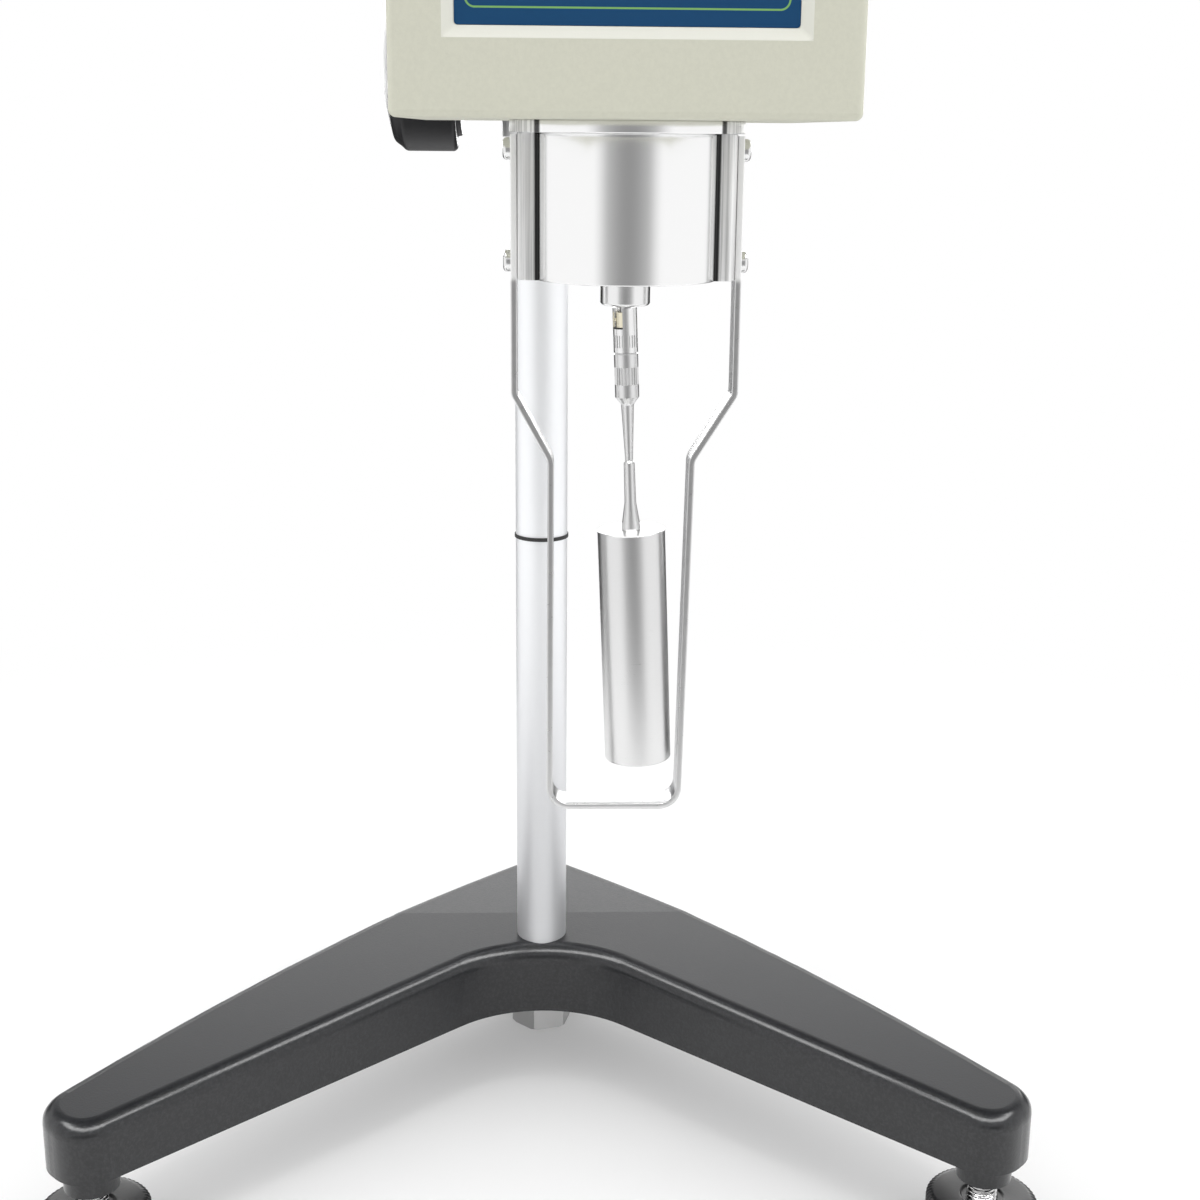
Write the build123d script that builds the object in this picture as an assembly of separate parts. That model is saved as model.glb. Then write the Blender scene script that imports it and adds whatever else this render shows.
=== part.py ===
from build123d import *
import math
import os

# Rotational viscometer on a rack-and-pinion stand, in millimetres.
# While it is modelled, X is to the right and Y to the rear of the column axis, and Z is the
# height above the table. At the end the whole assembly is centred over its own plan box.

# ------------------------------------------------------------ fits
RUN = 0.05            # radial clearance of a shaft that turns or slides in its bore
SEAT = 0.02           # radial clearance of a piece that is fixed in its bore
AIR = 0.3             # gap between neighbours that move past each other

# ------------------------------------------------------------ base casting
BASE_BOTTOM = 28.0
BASE_TOP = 54.8
ARM_FALL = 6.2        # how much lower the top is at the arm tips than at the hub
FALL_START_Y = 14.5
APEX_Y = 74.0
APEX_ROUND = 10.0
FLANK_MID = (95.0, -24.5)
TIP_OUTER = (159.0, -108.0)
TIP_INNER = (141.5, -126.2)
TIP_ROUND = 12.5
VEE_Y = 2.6
VEE_ROUND = 43.0
TOP_ROUND = 5.5
BASE_WALL = 5.0
BASE_ROOF = 6.0
HUB_BOSS_R = 17.0
RIB_T = 4.0
RIB_AT = (0.4, 0.72)  # where the cross ribs stand, as shares of the way along each arm

# ------------------------------------------------------------ levelling feet
FOOT_X = 140.5
FOOT_Y = -111.5
REAR_FOOT_Y = 48.0
FOOT_BOSS_R = 8.7
FOOT_BOSS_DROP = 5.5
FOOT_BORE_ROOF = 4.0
TIP_R = 12.5
TIP_H = 4.7
TIP_EDGE = 1.0
DISC_R = 17.6
DISC_H = 10.0
DISC_EDGE = 1.0
DISC_GRIPS = 20
GRIP_R = 1.7
GRIP_DEPTH = 0.9
STUD_R = 4.65
STUD_SINK = 2.7       # how far the stud's end reaches into the tip
STUD_LENGTH = 37.4

# ------------------------------------------------------------ column, rack and nut
COLUMN_R = 9.0
COLUMN_TOP = 466.0
COLUMN_SOCKET = 14.0  # depth of the column's seat in the hub
THREAD_R = 6.0
THREAD_LOW = 18.0
NUT_AF = 19.5
NUT_H = 9.0
NUT_TURN = -14.4
NUT_EDGE = 0.8
RING_Z = 205.5
RING_H = 1.3
RING_T = 0.4
CAP_H = 4.0
CAP_STEM_R = 4.0
CAP_STEM_H = 10.0
CAP_EDGE = 1.5

MODULE = 1.0
PRESSURE_ANGLE = 20.0
BACKLASH = 0.3
ROOT_DEPTH = 1.25
RACK_WIDTH = 8.0
RACK_BACK_Y = 1.5
RACK_PITCH_Y = 6.0
RACK_LOW = 212.0
RACK_HIGH = 432.0

# ------------------------------------------------------------ lift carriage
PINION_TEETH = 18
PINION_WIDTH = 6.0
PINION_PLAY = 0.1
PINION_Z = 365.0
PINION_SHAFT_R = 4.0
PINION_SHAFT_RIGHT = 16.0
CARRIAGE_LEFT = -26.2
CARRIAGE_RIGHT = 37.0
CARRIAGE_FRONT = -15.0
CARRIAGE_REAR = 30.0
CARRIAGE_LOW = 350.0
CARRIAGE_HIGH = 404.0
CARRIAGE_ROUND = 6.0
CARRIAGE_BOSS_R = 13.0
CARRIAGE_BOSS_H = 10.0
BUSH_R = 11.0
BUSH_H = 12.0
POCKET_AIR = 1.0
POCKET_WIDTH = 9.0
KNOB_FACE = -53.0
KNOB_R = 30.0
KNOB_HUB_R = 25.0
KNOB_HUB_T = 1.5
KNOB_RIM_LEFT = -46.6
KNOB_SHOULDERS = ((27.0, -49.0), (17.0, -51.3))
KNOB_BORE_DEPTH = 18.0

ROD_X = 22.5
ROD_Z = 390.0
ROD_R = 6.0
ROD_REAR = 38.0
ROD_GROOVE_Y = 8.0
ROD_GROOVE_W = 7.0
ROD_GROOVE_DEPTH = 0.8
CLAMP_R = 3.0
CLAMP_STEM = 10.0
CLAMP_KNOB_R = 11.0
CLAMP_KNOB_H = 13.0
CLAMP_LOBES = 8
CLAMP_LOBE_R = 2.6

# ------------------------------------------------------------ instrument head
HEAD_X = 19.7
HEAD_W = 110.0
HEAD_FRONT = -180.0
HEAD_SEAM = -164.0
HEAD_REAR = -65.0
HEAD_LOW = 344.7
HEAD_H = 140.0
HEAD_WALL = 2.8
HEAD_ROUND = 1.8

PANEL_W = 79.2
PANEL_H = 105.0
PANEL_LIFT = 20.5     # from the head's underside to the panel's lower edge
PANEL_ROUND = 0.8
PANEL_T = 0.8
PANEL_DEPTH = 1.6     # from the front face to the panel's surface
BEVEL_W = 2.8
FRONT_WALL = 4.0
PANEL_SEAT = 0.1

LCD_W = 62.0
LCD_H = 30.0
LCD_DROP = 13.0       # from the panel's upper edge down to the window
LCD_FRAME = 4.0
KEY_W = 15.0
KEY_H = 9.0
KEY_ROUND = 2.0
KEY_STEP_X = 24.0
KEY_STEP_Z = 19.0
KEY_ROW_LIFT = 21.0
KEY_PROUD = 1.2
KEY_TRAVEL = 0.6
KEY_LIP = 1.0
KEY_NAMES = (("left", "confirm", "right"), ("up", "reset", "down"))
BOARD_T = 1.6
BOARD_GAP = 5.0
FRONT_BOARD_W = 90.0
FRONT_BOARD_H = 116.0
STANDOFF_R = 2.6

SEAM_TAB_W = 14.0
SEAM_TAB_REACH = 12.0
SEAM_SCREW_Z = (50.0, 110.0)
CSK_R = 2.8
CSK_H = 1.5
SCREW_R = 1.5
SCREW_HEAD_R = 2.8
SCREW_HEAD_H = 2.0

LEVEL_Y = -148.0
LEVEL_R = 9.0
LEVEL_STEM_R = 7.0
LEVEL_H = 2.5
LEVEL_SINK = 5.5
VIAL_R = 5.8
VIAL_H = 5.0
VIAL_PROUD = 0.4

# ------------------------------------------------------------ power entry on the head's rear
INLET_X = -14.3
INLET_Z = 384.0
INLET_W = 32.0
INLET_H = 54.0
INLET_FLANGE = 1.6
INLET_BODY_W = 27.0
INLET_BODY_H = 47.0
INLET_BODY_D = 21.0
INLET_ROUND = 2.0
SOCKET_W = 24.0
SOCKET_H = 16.5
SOCKET_DEPTH = 17.5
SOCKET_DROP = 12.0
PIN_W = 2.0
PIN_H = 4.0
PIN_LENGTH = 11.0
PIN_STEP = 7.0
PIN_RISE = 2.5
ROCKER_LIFT = 13.5
ROCKER_W = 13.0
ROCKER_WELL_H = 20.0
ROCKER_WELL_DEPTH = 12.0
ROCKER_OUTLINE = ((-3.0, -4.0), (-3.0, 4.0), (4.0, 9.0), (2.6, 0.0), (4.0, -9.0))
ROCKER_PIVOT_IN = 3.2
ROCKER_PIN_R = 1.8
ROCKER_PIN_OUT = 1.5  # how far each pivot pin stands out of the rocker's side
ROCKER_REST = -10.0

# ------------------------------------------------------------ frame and drive inside the head
SPINDLE_X = 22.5
SPINDLE_Y = -122.6
CHASSIS_T = 3.0
CHASSIS_W = 98.0
CHASSIS_FRONT = -160.0
UPRIGHT_W = 26.0
UPRIGHT_TOP = 408.0
PILLAR_AT = 26.0
PILLAR_AF = 6.0
PILLAR_H = 59.5
UPPER_PILLAR_H = 33.0
MOTOR_PLATE_W = 64.0
MOTOR_PLATE_T = 3.0
MOTOR_R = 25.0
MOTOR_H = 24.0
MOTOR_RIM = 1.5
MOTOR_SHAFT_R = 2.5
MOTOR_SHAFT_IN = 4.0
MAIN_BOARD_W = 84.0
DRIVE_HUB_R = 7.0
DRIVE_HUB_Z = (396.0, 403.0)
DISC_OUTER_R = 22.0
ENCODER_T = 1.0
ENCODER_SLOTS = 8
UPPER_ENCODER_Z = 398.0
LOWER_ENCODER_Z = 377.0
COLLET_R = 3.0
COLLET_Z = (372.0, 391.0)
PIVOT_R = 1.5
PIVOT_TOP = 395.0
SPRING_Z = 386.0
SPRING_H = 2.5
SPRING_T = 0.5
SPRING_IN_R = 4.6
SPRING_PITCH = 3.0
SPRING_HALF_TURNS = 8
SENSOR_W = 10.0
SENSOR_T = 3.0
SENSOR_BITE = 5.0

# ------------------------------------------------------------ collar and guard under the head
FLANGE_R = 31.0
FLANGE_T = 3.2
COLLAR_R = 24.25
COLLAR_BORE_R = 18.5
COLLAR_LOW = 303.7
COLLAR_FLOOR = 4.4
BAR_OUTER = 29.0
BAR_HALF_Y = 6.0
BAR_ROUND = 2.5
END_BOSS_R = 6.7
END_BOSS_H = 6.9
END_NECK_R = 5.0
JEWEL_R = 3.5
JEWEL_H = 2.0
COLLAR_SCREW_R = 21.4
COLLAR_SCREW_LOW = 330.0
GUARD_T = 1.7
GUARD_W = 9.2
GUARD_BOTTOM_LEFT = 21.1
GUARD_BOTTOM_RIGHT = 17.5
GUARD_WAIST_LEFT = 20.8  # the strip is bent by hand, so its two sides differ
GUARD_WAIST_RIGHT = 19.4
GUARD_BOTTOM = 153.4
GUARD_WAIST_Z = 254.8
GUARD_SHOULDER_Z = 272.9
GUARD_CORNER_R = 6.5
GUARD_BEND_R = 4.0
GUARD_TOP_GAP = 0.5
GUARD_SCREW_Z = (308.4, 337.4)
GUARD_SCREW_HEAD_R = 2.9
GUARD_SCREW_HEAD_H = 2.0
GUARD_SCREW_REACH = 5.0

# ------------------------------------------------------------ universal joint and spindle
PIVOT_Z = 293.0
LEAN = 2.4            # how far the hanging spindle leans to the right
SLEEVE_R = 3.3
SLEEVE_BORE_R = 2.8
SLEEVE_TOP = 296.2
SLEEVE_FLOOR = 287.5
SPLIT_Z = 284.2
COUPLER_STUD_R = 1.5
COUPLER_STUD_LOW = 279.6
KNURL_UPPER = (285.6, 288.9)
KNURL_LOWER = (275.5, 280.2)
KNURL_TEETH = 24
KNURL_DEPTH = 0.25
WINDOW_W = 3.4
WINDOW_LOW = 290.6
BLOCK_R = 2.5
BLOCK_HALF_H = 2.0
BLOCK_BORE_R = 1.95
JOINT_PIN_R = 0.5
NUT_SHOULDER_Z = 272.0
STEM_TOP_Z = 270.0
STEM_TOP_R = 1.75
NECK_Z = 254.4
NECK_R = 1.05
STEM_LOW_R = 1.5
CONE_TOP_Z = 242.6
CONE_TOP_R = 1.6
CONE_FOOT_R = 2.75
ROTOR_TOP = 235.0
ROTOR_LENGTH = 67.0
ROTOR_R = 9.42
ROTOR_EDGE = 0.4

# ------------------------------------------------------------ sizes that follow from the above
PINION_R = MODULE * PINION_TEETH / 2
PINION_Y = RACK_PITCH_Y + PINION_R + PINION_PLAY
DISC_LOW = TIP_H + AIR
HEAD_TOP = HEAD_LOW + HEAD_H
PANEL_LOW = HEAD_LOW + PANEL_LIFT
PANEL_Z = PANEL_LOW + PANEL_H / 2
PANEL_FACE = HEAD_FRONT + PANEL_DEPTH
PANEL_BACK = PANEL_FACE + PANEL_T
FRONT_WALL_BACK = HEAD_FRONT + FRONT_WALL
LCD_Z = PANEL_LOW + PANEL_H - LCD_DROP - LCD_H / 2
FRONT_BOARD_Y = FRONT_WALL_BACK + BOARD_GAP
FRONT_BOARD_Z = PANEL_Z
CHASSIS_LOW = HEAD_LOW + HEAD_WALL
CHASSIS_TOP = CHASSIS_LOW + CHASSIS_T
MOTOR_PLATE_LOW = CHASSIS_TOP + PILLAR_H
MOTOR_PLATE_TOP = MOTOR_PLATE_LOW + MOTOR_PLATE_T
MAIN_BOARD_LOW = MOTOR_PLATE_TOP + UPPER_PILLAR_H
FLANGE_LOW = HEAD_LOW - FLANGE_T
FEET = {
    "left": (-FOOT_X, FOOT_Y),
    "right": (FOOT_X, FOOT_Y),
    "rear": (0.0, REAR_FOOT_Y),
}
ON_END = (Align.CENTER, Align.CENTER, Align.MIN)
PARTS = {}


# ------------------------------------------------------------ plain shapes
def bar_z(radius, low, high, x=0.0, y=0.0):
    """A round bar that stands upright."""
    return Pos(x, y, low) * Cylinder(radius, high - low, align=ON_END)


def bar_x(radius, left, right, y, z):
    """A round bar from left to right."""
    return Pos(left, y, z) * Rot(0, 90, 0) * Cylinder(radius, right - left, align=ON_END)


def bar_y(radius, front, rear, x, z):
    """A round bar from front to rear."""
    return Pos(x, front, z) * Rot(-90, 0, 0) * Cylinder(radius, rear - front, align=ON_END)


def block(x_range, y_range, z_range):
    """A box between two limits on each axis."""
    spans = (x_range, y_range, z_range)
    middle = [sum(span) / 2 for span in spans]
    return Pos(*middle) * Box(*[span[1] - span[0] for span in spans])


def facing_front(width, height, radius, front, depth, x, z):
    """A plate with rounded corners that faces the front."""
    outline = RectangleRounded(width, height, radius)
    return extrude(Pos(x, front, z) * Rot(-90, 0, 0) * outline, amount=depth)


def turned(points):
    """A solid turned about Z from its half outline of (radius, height) points."""
    return revolve(Plane.XZ * Polygon(*points, align=None), Axis.Z)


def around(count, start=0.0):
    """Angles of a ring of equal steps."""
    return [start + 360 * step / count for step in range(count)]


def hexagon(across_flats, low, high, x=0.0, y=0.0):
    """A hexagonal bar that stands upright."""
    outline = RegularPolygon(across_flats / math.sqrt(3), 6)
    return extrude(Pos(x, y, low) * outline, amount=high - low)


def keep(name, *solids):
    """Files one named piece, or one group of like pieces."""
    PARTS[name] = solids[0] if len(solids) == 1 else Compound(children=list(solids))


# ------------------------------------------------------------ base casting
def mirrored(point):
    """The same point on the left arm."""
    return (-point[0], point[1])


def base_outline():
    """The plan of the two-armed base: convex flanks, rounded tips and a rounded inner vee."""
    apex, vee = (0.0, APEX_Y), (0.0, VEE_Y)
    rim = [
        ThreePointArc(apex, FLANK_MID, TIP_OUTER),
        Polyline(TIP_OUTER, TIP_INNER, vee, mirrored(TIP_INNER), mirrored(TIP_OUTER)),
        ThreePointArc(mirrored(TIP_OUTER), mirrored(FLANK_MID), apex),
    ]
    face = make_face(rim)
    rounds = [(apex, APEX_ROUND), (vee, VEE_ROUND)]
    for tip in (TIP_OUTER, TIP_INNER):
        rounds += [(tip, TIP_ROUND), (mirrored(tip), TIP_ROUND)]
    for corner, radius in rounds:
        face = fillet(face.vertices().sort_by_distance(Vector(*corner, 0))[:1], radius)
    return face


def arm_ribs():
    """Cross ribs under both arms, square to the way from the hub to each front foot."""
    ribs = []
    slant = math.degrees(math.atan2(FOOT_Y, FOOT_X))
    for share in RIB_AT:
        for side in (1, -1):
            rib = Box(RIB_T, 2 * FOOT_X, 2 * BASE_TOP)
            turn = slant if side > 0 else 180 - slant
            ribs.append(Pos(side * FOOT_X * share, FOOT_Y * share, 0) * Rot(0, 0, turn) * rib)
    return ribs


def base_hollow(outline):
    """The space under the casting, less its bosses and ribs."""
    roof = BASE_TOP - ARM_FALL - BASE_ROOF
    inner = offset(outline, amount=-BASE_WALL)
    hollow = extrude(Pos(0, 0, BASE_BOTTOM - 1) * inner, amount=roof - BASE_BOTTOM + 1)
    hollow -= bar_z(HUB_BOSS_R, 0, BASE_TOP)
    for x, y in FEET.values():
        hollow -= bar_z(FOOT_BOSS_R, 0, BASE_TOP, x, y)
    for rib in arm_ribs():
        hollow -= rib
    return hollow


def base_casting():
    """The iron base with its falling arms, rounded top edge, ribs and bosses."""
    outline = base_outline()
    body = extrude(Pos(0, 0, BASE_BOTTOM) * outline, amount=BASE_TOP - BASE_BOTTOM)
    reach = TIP_INNER[1] - 10
    slope = ARM_FALL / (FALL_START_Y - FOOT_Y)
    low = BASE_TOP - slope * (FALL_START_Y - reach)
    wedge = Polygon(
        (FALL_START_Y, BASE_TOP), (FALL_START_Y, BASE_TOP + 5), (reach, BASE_TOP + 5), (reach, low), align=None
    )
    body -= extrude(Plane.YZ * wedge, amount=2 * FOOT_X, both=True)
    rim = [edge for edge in body.edges() if edge.center().Z > BASE_TOP - ARM_FALL - 2]
    rim = [edge for edge in rim if abs(edge.tangent_at(0.5).Z) < 0.2 and not across(edge)]
    body = fillet(rim, TOP_ROUND)
    body -= base_hollow(outline)
    for x, y in FEET.values():
        roof = BASE_TOP - ARM_FALL - FOOT_BORE_ROOF
        body += bar_z(FOOT_BOSS_R, BASE_BOTTOM - FOOT_BOSS_DROP, roof, x, y)
        body -= bar_z(STUD_R + RUN, BASE_BOTTOM - FOOT_BOSS_DROP - 1, roof, x, y)
    body -= bar_z(COLUMN_R + SEAT, BASE_TOP - COLUMN_SOCKET, BASE_TOP + 1)
    body -= bar_z(THREAD_R + SEAT, BASE_BOTTOM - 1, BASE_TOP)
    keep("base_casting", body)


def across(edge):
    """Whether an edge is the crease where an arm's top starts to fall."""
    ends = (edge @ 0, edge @ 1)
    return all(abs(end.Y - FALL_START_Y) < 0.01 for end in ends)


# ------------------------------------------------------------ levelling feet
def foot_disc(name, x, y):
    """A finger disc with a ring of grip flutes, fixed on its stud."""
    top = DISC_LOW + DISC_H
    outline = [
        (0, DISC_LOW), (DISC_R - DISC_EDGE, DISC_LOW), (DISC_R, DISC_LOW + DISC_EDGE),
        (DISC_R, top - DISC_EDGE), (DISC_R - DISC_EDGE, top), (0, top),
    ]
    disc = turned(outline) - bar_z(STUD_R + SEAT, DISC_LOW - 1, top + 1)
    for angle in around(DISC_GRIPS):
        reach = DISC_R + GRIP_R - GRIP_DEPTH
        disc -= Rot(0, 0, angle) * bar_z(GRIP_R, DISC_LOW - 1, top + 1, x=reach)
    keep("foot_disc_" + name, Pos(x, y, 0) * disc)


def foot_stud(name, x, y):
    """A plated stud that screws into the base and ends in the tip."""
    low = TIP_H - STUD_SINK
    keep("foot_stud_" + name, bar_z(STUD_R, low, low + STUD_LENGTH, x, y))


def foot_tip(name, x, y):
    """A rubber tip that stands still while the stud turns in it."""
    outline = [
        (0, 0), (TIP_R - TIP_EDGE, 0), (TIP_R, TIP_EDGE), (TIP_R, TIP_H - TIP_EDGE),
        (TIP_R - TIP_EDGE, TIP_H), (0, TIP_H),
    ]
    socket = bar_z(STUD_R + RUN, TIP_H - STUD_SINK - AIR, TIP_H + 1)
    keep("foot_tip_" + name, Pos(x, y, 0) * (turned(outline) - socket))


# ------------------------------------------------------------ column
def rack_slot(side_gap, low, high):
    """The channel in the rear of the column that holds the rack."""
    half = RACK_WIDTH / 2 + side_gap
    return block((-half, half), (RACK_BACK_Y, 2 * COLUMN_R), (low, high))


def column():
    """The round column, its threaded end and its rack channel."""
    body = bar_z(COLUMN_R, BASE_TOP - COLUMN_SOCKET, COLUMN_TOP)
    body += bar_z(THREAD_R, THREAD_LOW, BASE_TOP - COLUMN_SOCKET)
    body -= rack_slot(RUN, RACK_LOW, RACK_HIGH)
    body -= bar_z(CAP_STEM_R + SEAT, COLUMN_TOP - CAP_STEM_H - 1, COLUMN_TOP + 1)
    keep("column", body)


def column_rack():
    """The rack: straight-sided teeth on a bar, one gap centred on the pinion at rest."""
    tan = math.tan(math.radians(PRESSURE_ANGLE))
    pitch = math.pi * MODULE
    half = (pitch / 2 - BACKLASH) / 2
    tip_half, root_half = half - MODULE * tan, half + ROOT_DEPTH * MODULE * tan
    tip_y, root_y = RACK_PITCH_Y + MODULE, RACK_PITCH_Y - ROOT_DEPTH * MODULE
    below = int((PINION_Z - RACK_LOW) / pitch - 1)
    above = int((RACK_HIGH - PINION_Z) / pitch - 1)
    points = [(RACK_BACK_Y, RACK_LOW), (root_y, RACK_LOW)]
    for tooth in range(-below, above):
        middle = PINION_Z + (tooth + 0.5) * pitch
        points += [(root_y, middle - root_half), (tip_y, middle - tip_half)]
        points += [(tip_y, middle + tip_half), (root_y, middle + root_half)]
    points += [(root_y, RACK_HIGH), (RACK_BACK_Y, RACK_HIGH)]
    bar = extrude(Plane.YZ * Polygon(*points, align=None), amount=RACK_WIDTH / 2, both=True)
    keep("column_rack", bar)


def column_trim():
    """The nut under the hub, the stop ring and the end cap."""
    top = BASE_BOTTOM
    nut = Rot(0, 0, 30 + NUT_TURN) * hexagon(NUT_AF, top - NUT_H, top)
    corner = NUT_AF / math.sqrt(3)
    nut &= turned([
        (0, top - NUT_H), (corner - NUT_EDGE, top - NUT_H), (corner + 0.1, top - NUT_H + NUT_EDGE),
        (corner + 0.1, top - NUT_EDGE), (corner - NUT_EDGE, top), (0, top),
    ])
    keep("column_nut", nut - bar_z(THREAD_R + SEAT, 0, BASE_TOP))
    ring = bar_z(COLUMN_R + RING_T, RING_Z - RING_H / 2, RING_Z + RING_H / 2)
    ring = fillet(ring.edges(), RING_H / 4)
    keep("column_ring", ring - bar_z(COLUMN_R + SEAT, 0, COLUMN_TOP))
    cap = bar_z(COLUMN_R, COLUMN_TOP, COLUMN_TOP + CAP_H)
    cap = fillet(cap.edges().sort_by(Axis.Z)[-1:], CAP_EDGE)
    keep("column_cap", cap + bar_z(CAP_STEM_R, COLUMN_TOP - CAP_STEM_H, COLUMN_TOP))


# ------------------------------------------------------------ lift carriage
def carriage_body():
    """The block that rides on the column and carries the pinion and the head's rod."""
    middle = ((CARRIAGE_LEFT + CARRIAGE_RIGHT) / 2, (CARRIAGE_FRONT + CARRIAGE_REAR) / 2)
    size = (CARRIAGE_RIGHT - CARRIAGE_LEFT, CARRIAGE_REAR - CARRIAGE_FRONT)
    outline = Pos(*middle, CARRIAGE_LOW) * RectangleRounded(*size, CARRIAGE_ROUND)
    body = extrude(outline, amount=CARRIAGE_HIGH - CARRIAGE_LOW)
    body = chamfer(body.faces().sort_by(Axis.Z)[-1].edges(), 1.5)
    low, high = CARRIAGE_LOW - CARRIAGE_BOSS_H, CARRIAGE_HIGH + CARRIAGE_BOSS_H
    body += bar_z(CARRIAGE_BOSS_R, low, high)
    body -= bar_z(BUSH_R + SEAT, low - 1, high + 1)
    tip_r = PINION_R + MODULE + POCKET_AIR
    body -= bar_x(tip_r, -POCKET_WIDTH / 2, POCKET_WIDTH / 2, PINION_Y, PINION_Z)
    shaft_right = PINION_SHAFT_RIGHT + AIR
    body -= bar_x(PINION_SHAFT_R + RUN, CARRIAGE_LEFT - 1, shaft_right, PINION_Y, PINION_Z)
    body -= bar_y(ROD_R + RUN, CARRIAGE_FRONT - 1, CARRIAGE_REAR + 1, ROD_X, ROD_Z)
    body -= bar_x(CLAMP_R + RUN, ROD_X, CARRIAGE_RIGHT + 1, ROD_GROOVE_Y, ROD_Z)
    keep("carriage_body", body)


def column_bushes():
    """Two bronze bushes between the carriage and the column."""
    bushes = []
    lower = CARRIAGE_LOW - CARRIAGE_BOSS_H
    upper = CARRIAGE_HIGH + CARRIAGE_BOSS_H - BUSH_H
    for low in (lower, upper):
        bush = bar_z(BUSH_R, low, low + BUSH_H)
        bushes.append(bush - bar_z(COLUMN_R + RUN, low - 1, low + BUSH_H + 1))
    keep("column_bushes", *bushes)


def pinion_outline():
    """Involute teeth as (y, z) points about the pinion's axis, one tooth towards the rack."""
    base_r = PINION_R * math.cos(math.radians(PRESSURE_ANGLE))
    root_r, tip_r = PINION_R - ROOT_DEPTH * MODULE, PINION_R + MODULE
    lean = math.radians(PRESSURE_ANGLE)
    pitch_half = (math.pi * MODULE / 2 - BACKLASH) / 2 / PINION_R
    flank = [(root_r, pitch_half + math.tan(lean) - lean)]
    for step in range(4):
        radius = base_r + (tip_r - base_r) * step / 3
        roll = math.acos(min(1.0, base_r / radius))
        flank.append((radius, pitch_half + math.tan(lean) - lean - (math.tan(roll) - roll)))
    points = []
    for tooth in range(PINION_TEETH):
        middle = math.pi + 2 * math.pi * tooth / PINION_TEETH
        rising = [(radius, middle - half) for radius, half in flank]
        falling = [(radius, middle + half) for radius, half in reversed(flank)]
        for radius, angle in rising + falling:
            points.append((radius * math.cos(angle), radius * math.sin(angle)))
    return points


def pinion():
    """The pinion and its shaft, cut from one bar, out to the inside of the knob."""
    teeth = extrude(Plane.YZ * Polygon(*pinion_outline(), align=None), amount=PINION_WIDTH / 2, both=True)
    teeth = Pos(0, PINION_Y, PINION_Z) * teeth
    left = KNOB_FACE + KNOB_BORE_DEPTH / 2
    shaft = bar_x(PINION_SHAFT_R, left, PINION_SHAFT_RIGHT, PINION_Y, PINION_Z)
    keep("pinion", teeth + shaft)


def lift_knob():
    """The big round lift knob with its stepped, slightly domed face."""
    hub_right = CARRIAGE_LEFT - AIR
    outline = [(0, hub_right), (KNOB_HUB_R, hub_right), (KNOB_HUB_R, hub_right - KNOB_HUB_T)]
    outline += [(KNOB_R - 0.8, hub_right - KNOB_HUB_T), (KNOB_R, hub_right - KNOB_HUB_T - 0.8)]
    outline += [(KNOB_R, KNOB_RIM_LEFT + 1.2), (KNOB_R - 1.2, KNOB_RIM_LEFT)]
    outline += list(KNOB_SHOULDERS) + [(0, KNOB_FACE)]
    knob = Rot(0, 90, 0) * turned(outline)
    knob = Pos(0, PINION_Y, PINION_Z) * knob
    left = KNOB_FACE + KNOB_BORE_DEPTH / 2
    knob -= bar_x(PINION_SHAFT_R + SEAT, left, 0, PINION_Y, PINION_Z)
    keep("lift_knob", knob)


def rod_clamp_screw():
    """The lobed thumb screw that locks the head's rod in the carriage."""
    left = ROD_X + ROD_R - ROD_GROOVE_DEPTH + AIR
    knob_left = CARRIAGE_RIGHT + CLAMP_STEM
    screw = bar_x(CLAMP_R, left, knob_left, ROD_GROOVE_Y, ROD_Z)
    knob = bar_z(CLAMP_KNOB_R, 0, CLAMP_KNOB_H)
    for angle in around(CLAMP_LOBES):
        knob -= Rot(0, 0, angle) * bar_z(CLAMP_LOBE_R, -1, CLAMP_KNOB_H + 1, x=CLAMP_KNOB_R + 1.0)
    screw += Pos(knob_left, ROD_GROOVE_Y, ROD_Z) * Rot(0, 90, 0) * knob
    keep("rod_clamp_screw", screw)


# ------------------------------------------------------------ head housing
def head_box(inset, front, rear):
    """The head's outer or inner box between two depths."""
    half = HEAD_W / 2 - inset
    return block((HEAD_X - half, HEAD_X + half), (front, rear), (HEAD_LOW + inset, HEAD_TOP - inset))


def seam_sides():
    """The two side walls: the wall's outer face and the direction into the head."""
    return ((HEAD_X - HEAD_W / 2, 1), (HEAD_X + HEAD_W / 2, -1))


def seam_screw(face, inward, z, spare=0.0):
    """A countersunk screw through a side wall into the front moulding's tab."""
    y = HEAD_SEAM + SEAM_TAB_REACH / 2
    length = HEAD_WALL + SEAM_TAB_REACH / 2
    head = Cone(CSK_R + spare, SCREW_R + spare, CSK_H, align=ON_END)
    screw = head + bar_z(SCREW_R + spare, CSK_H, length)
    return Pos(face, y, z) * Rot(0, 90 * inward, 0) * screw


def rounded_shell(front, rear, open_front, open_rear):
    """A rounded box with thin walls, open at one or both ends."""
    solid = head_box(0, front, rear)
    end = solid.faces().sort_by(Axis.Y)[0 if open_rear else -1]
    edges = solid.edges().filter_by(Axis.Y) + end.edges()
    solid = fillet(edges, HEAD_ROUND)
    inner_front = front - 1 if open_front else front + FRONT_WALL
    inner_rear = rear + 1 if open_rear else rear - HEAD_WALL
    return solid - head_box(HEAD_WALL, inner_front, inner_rear)


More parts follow.
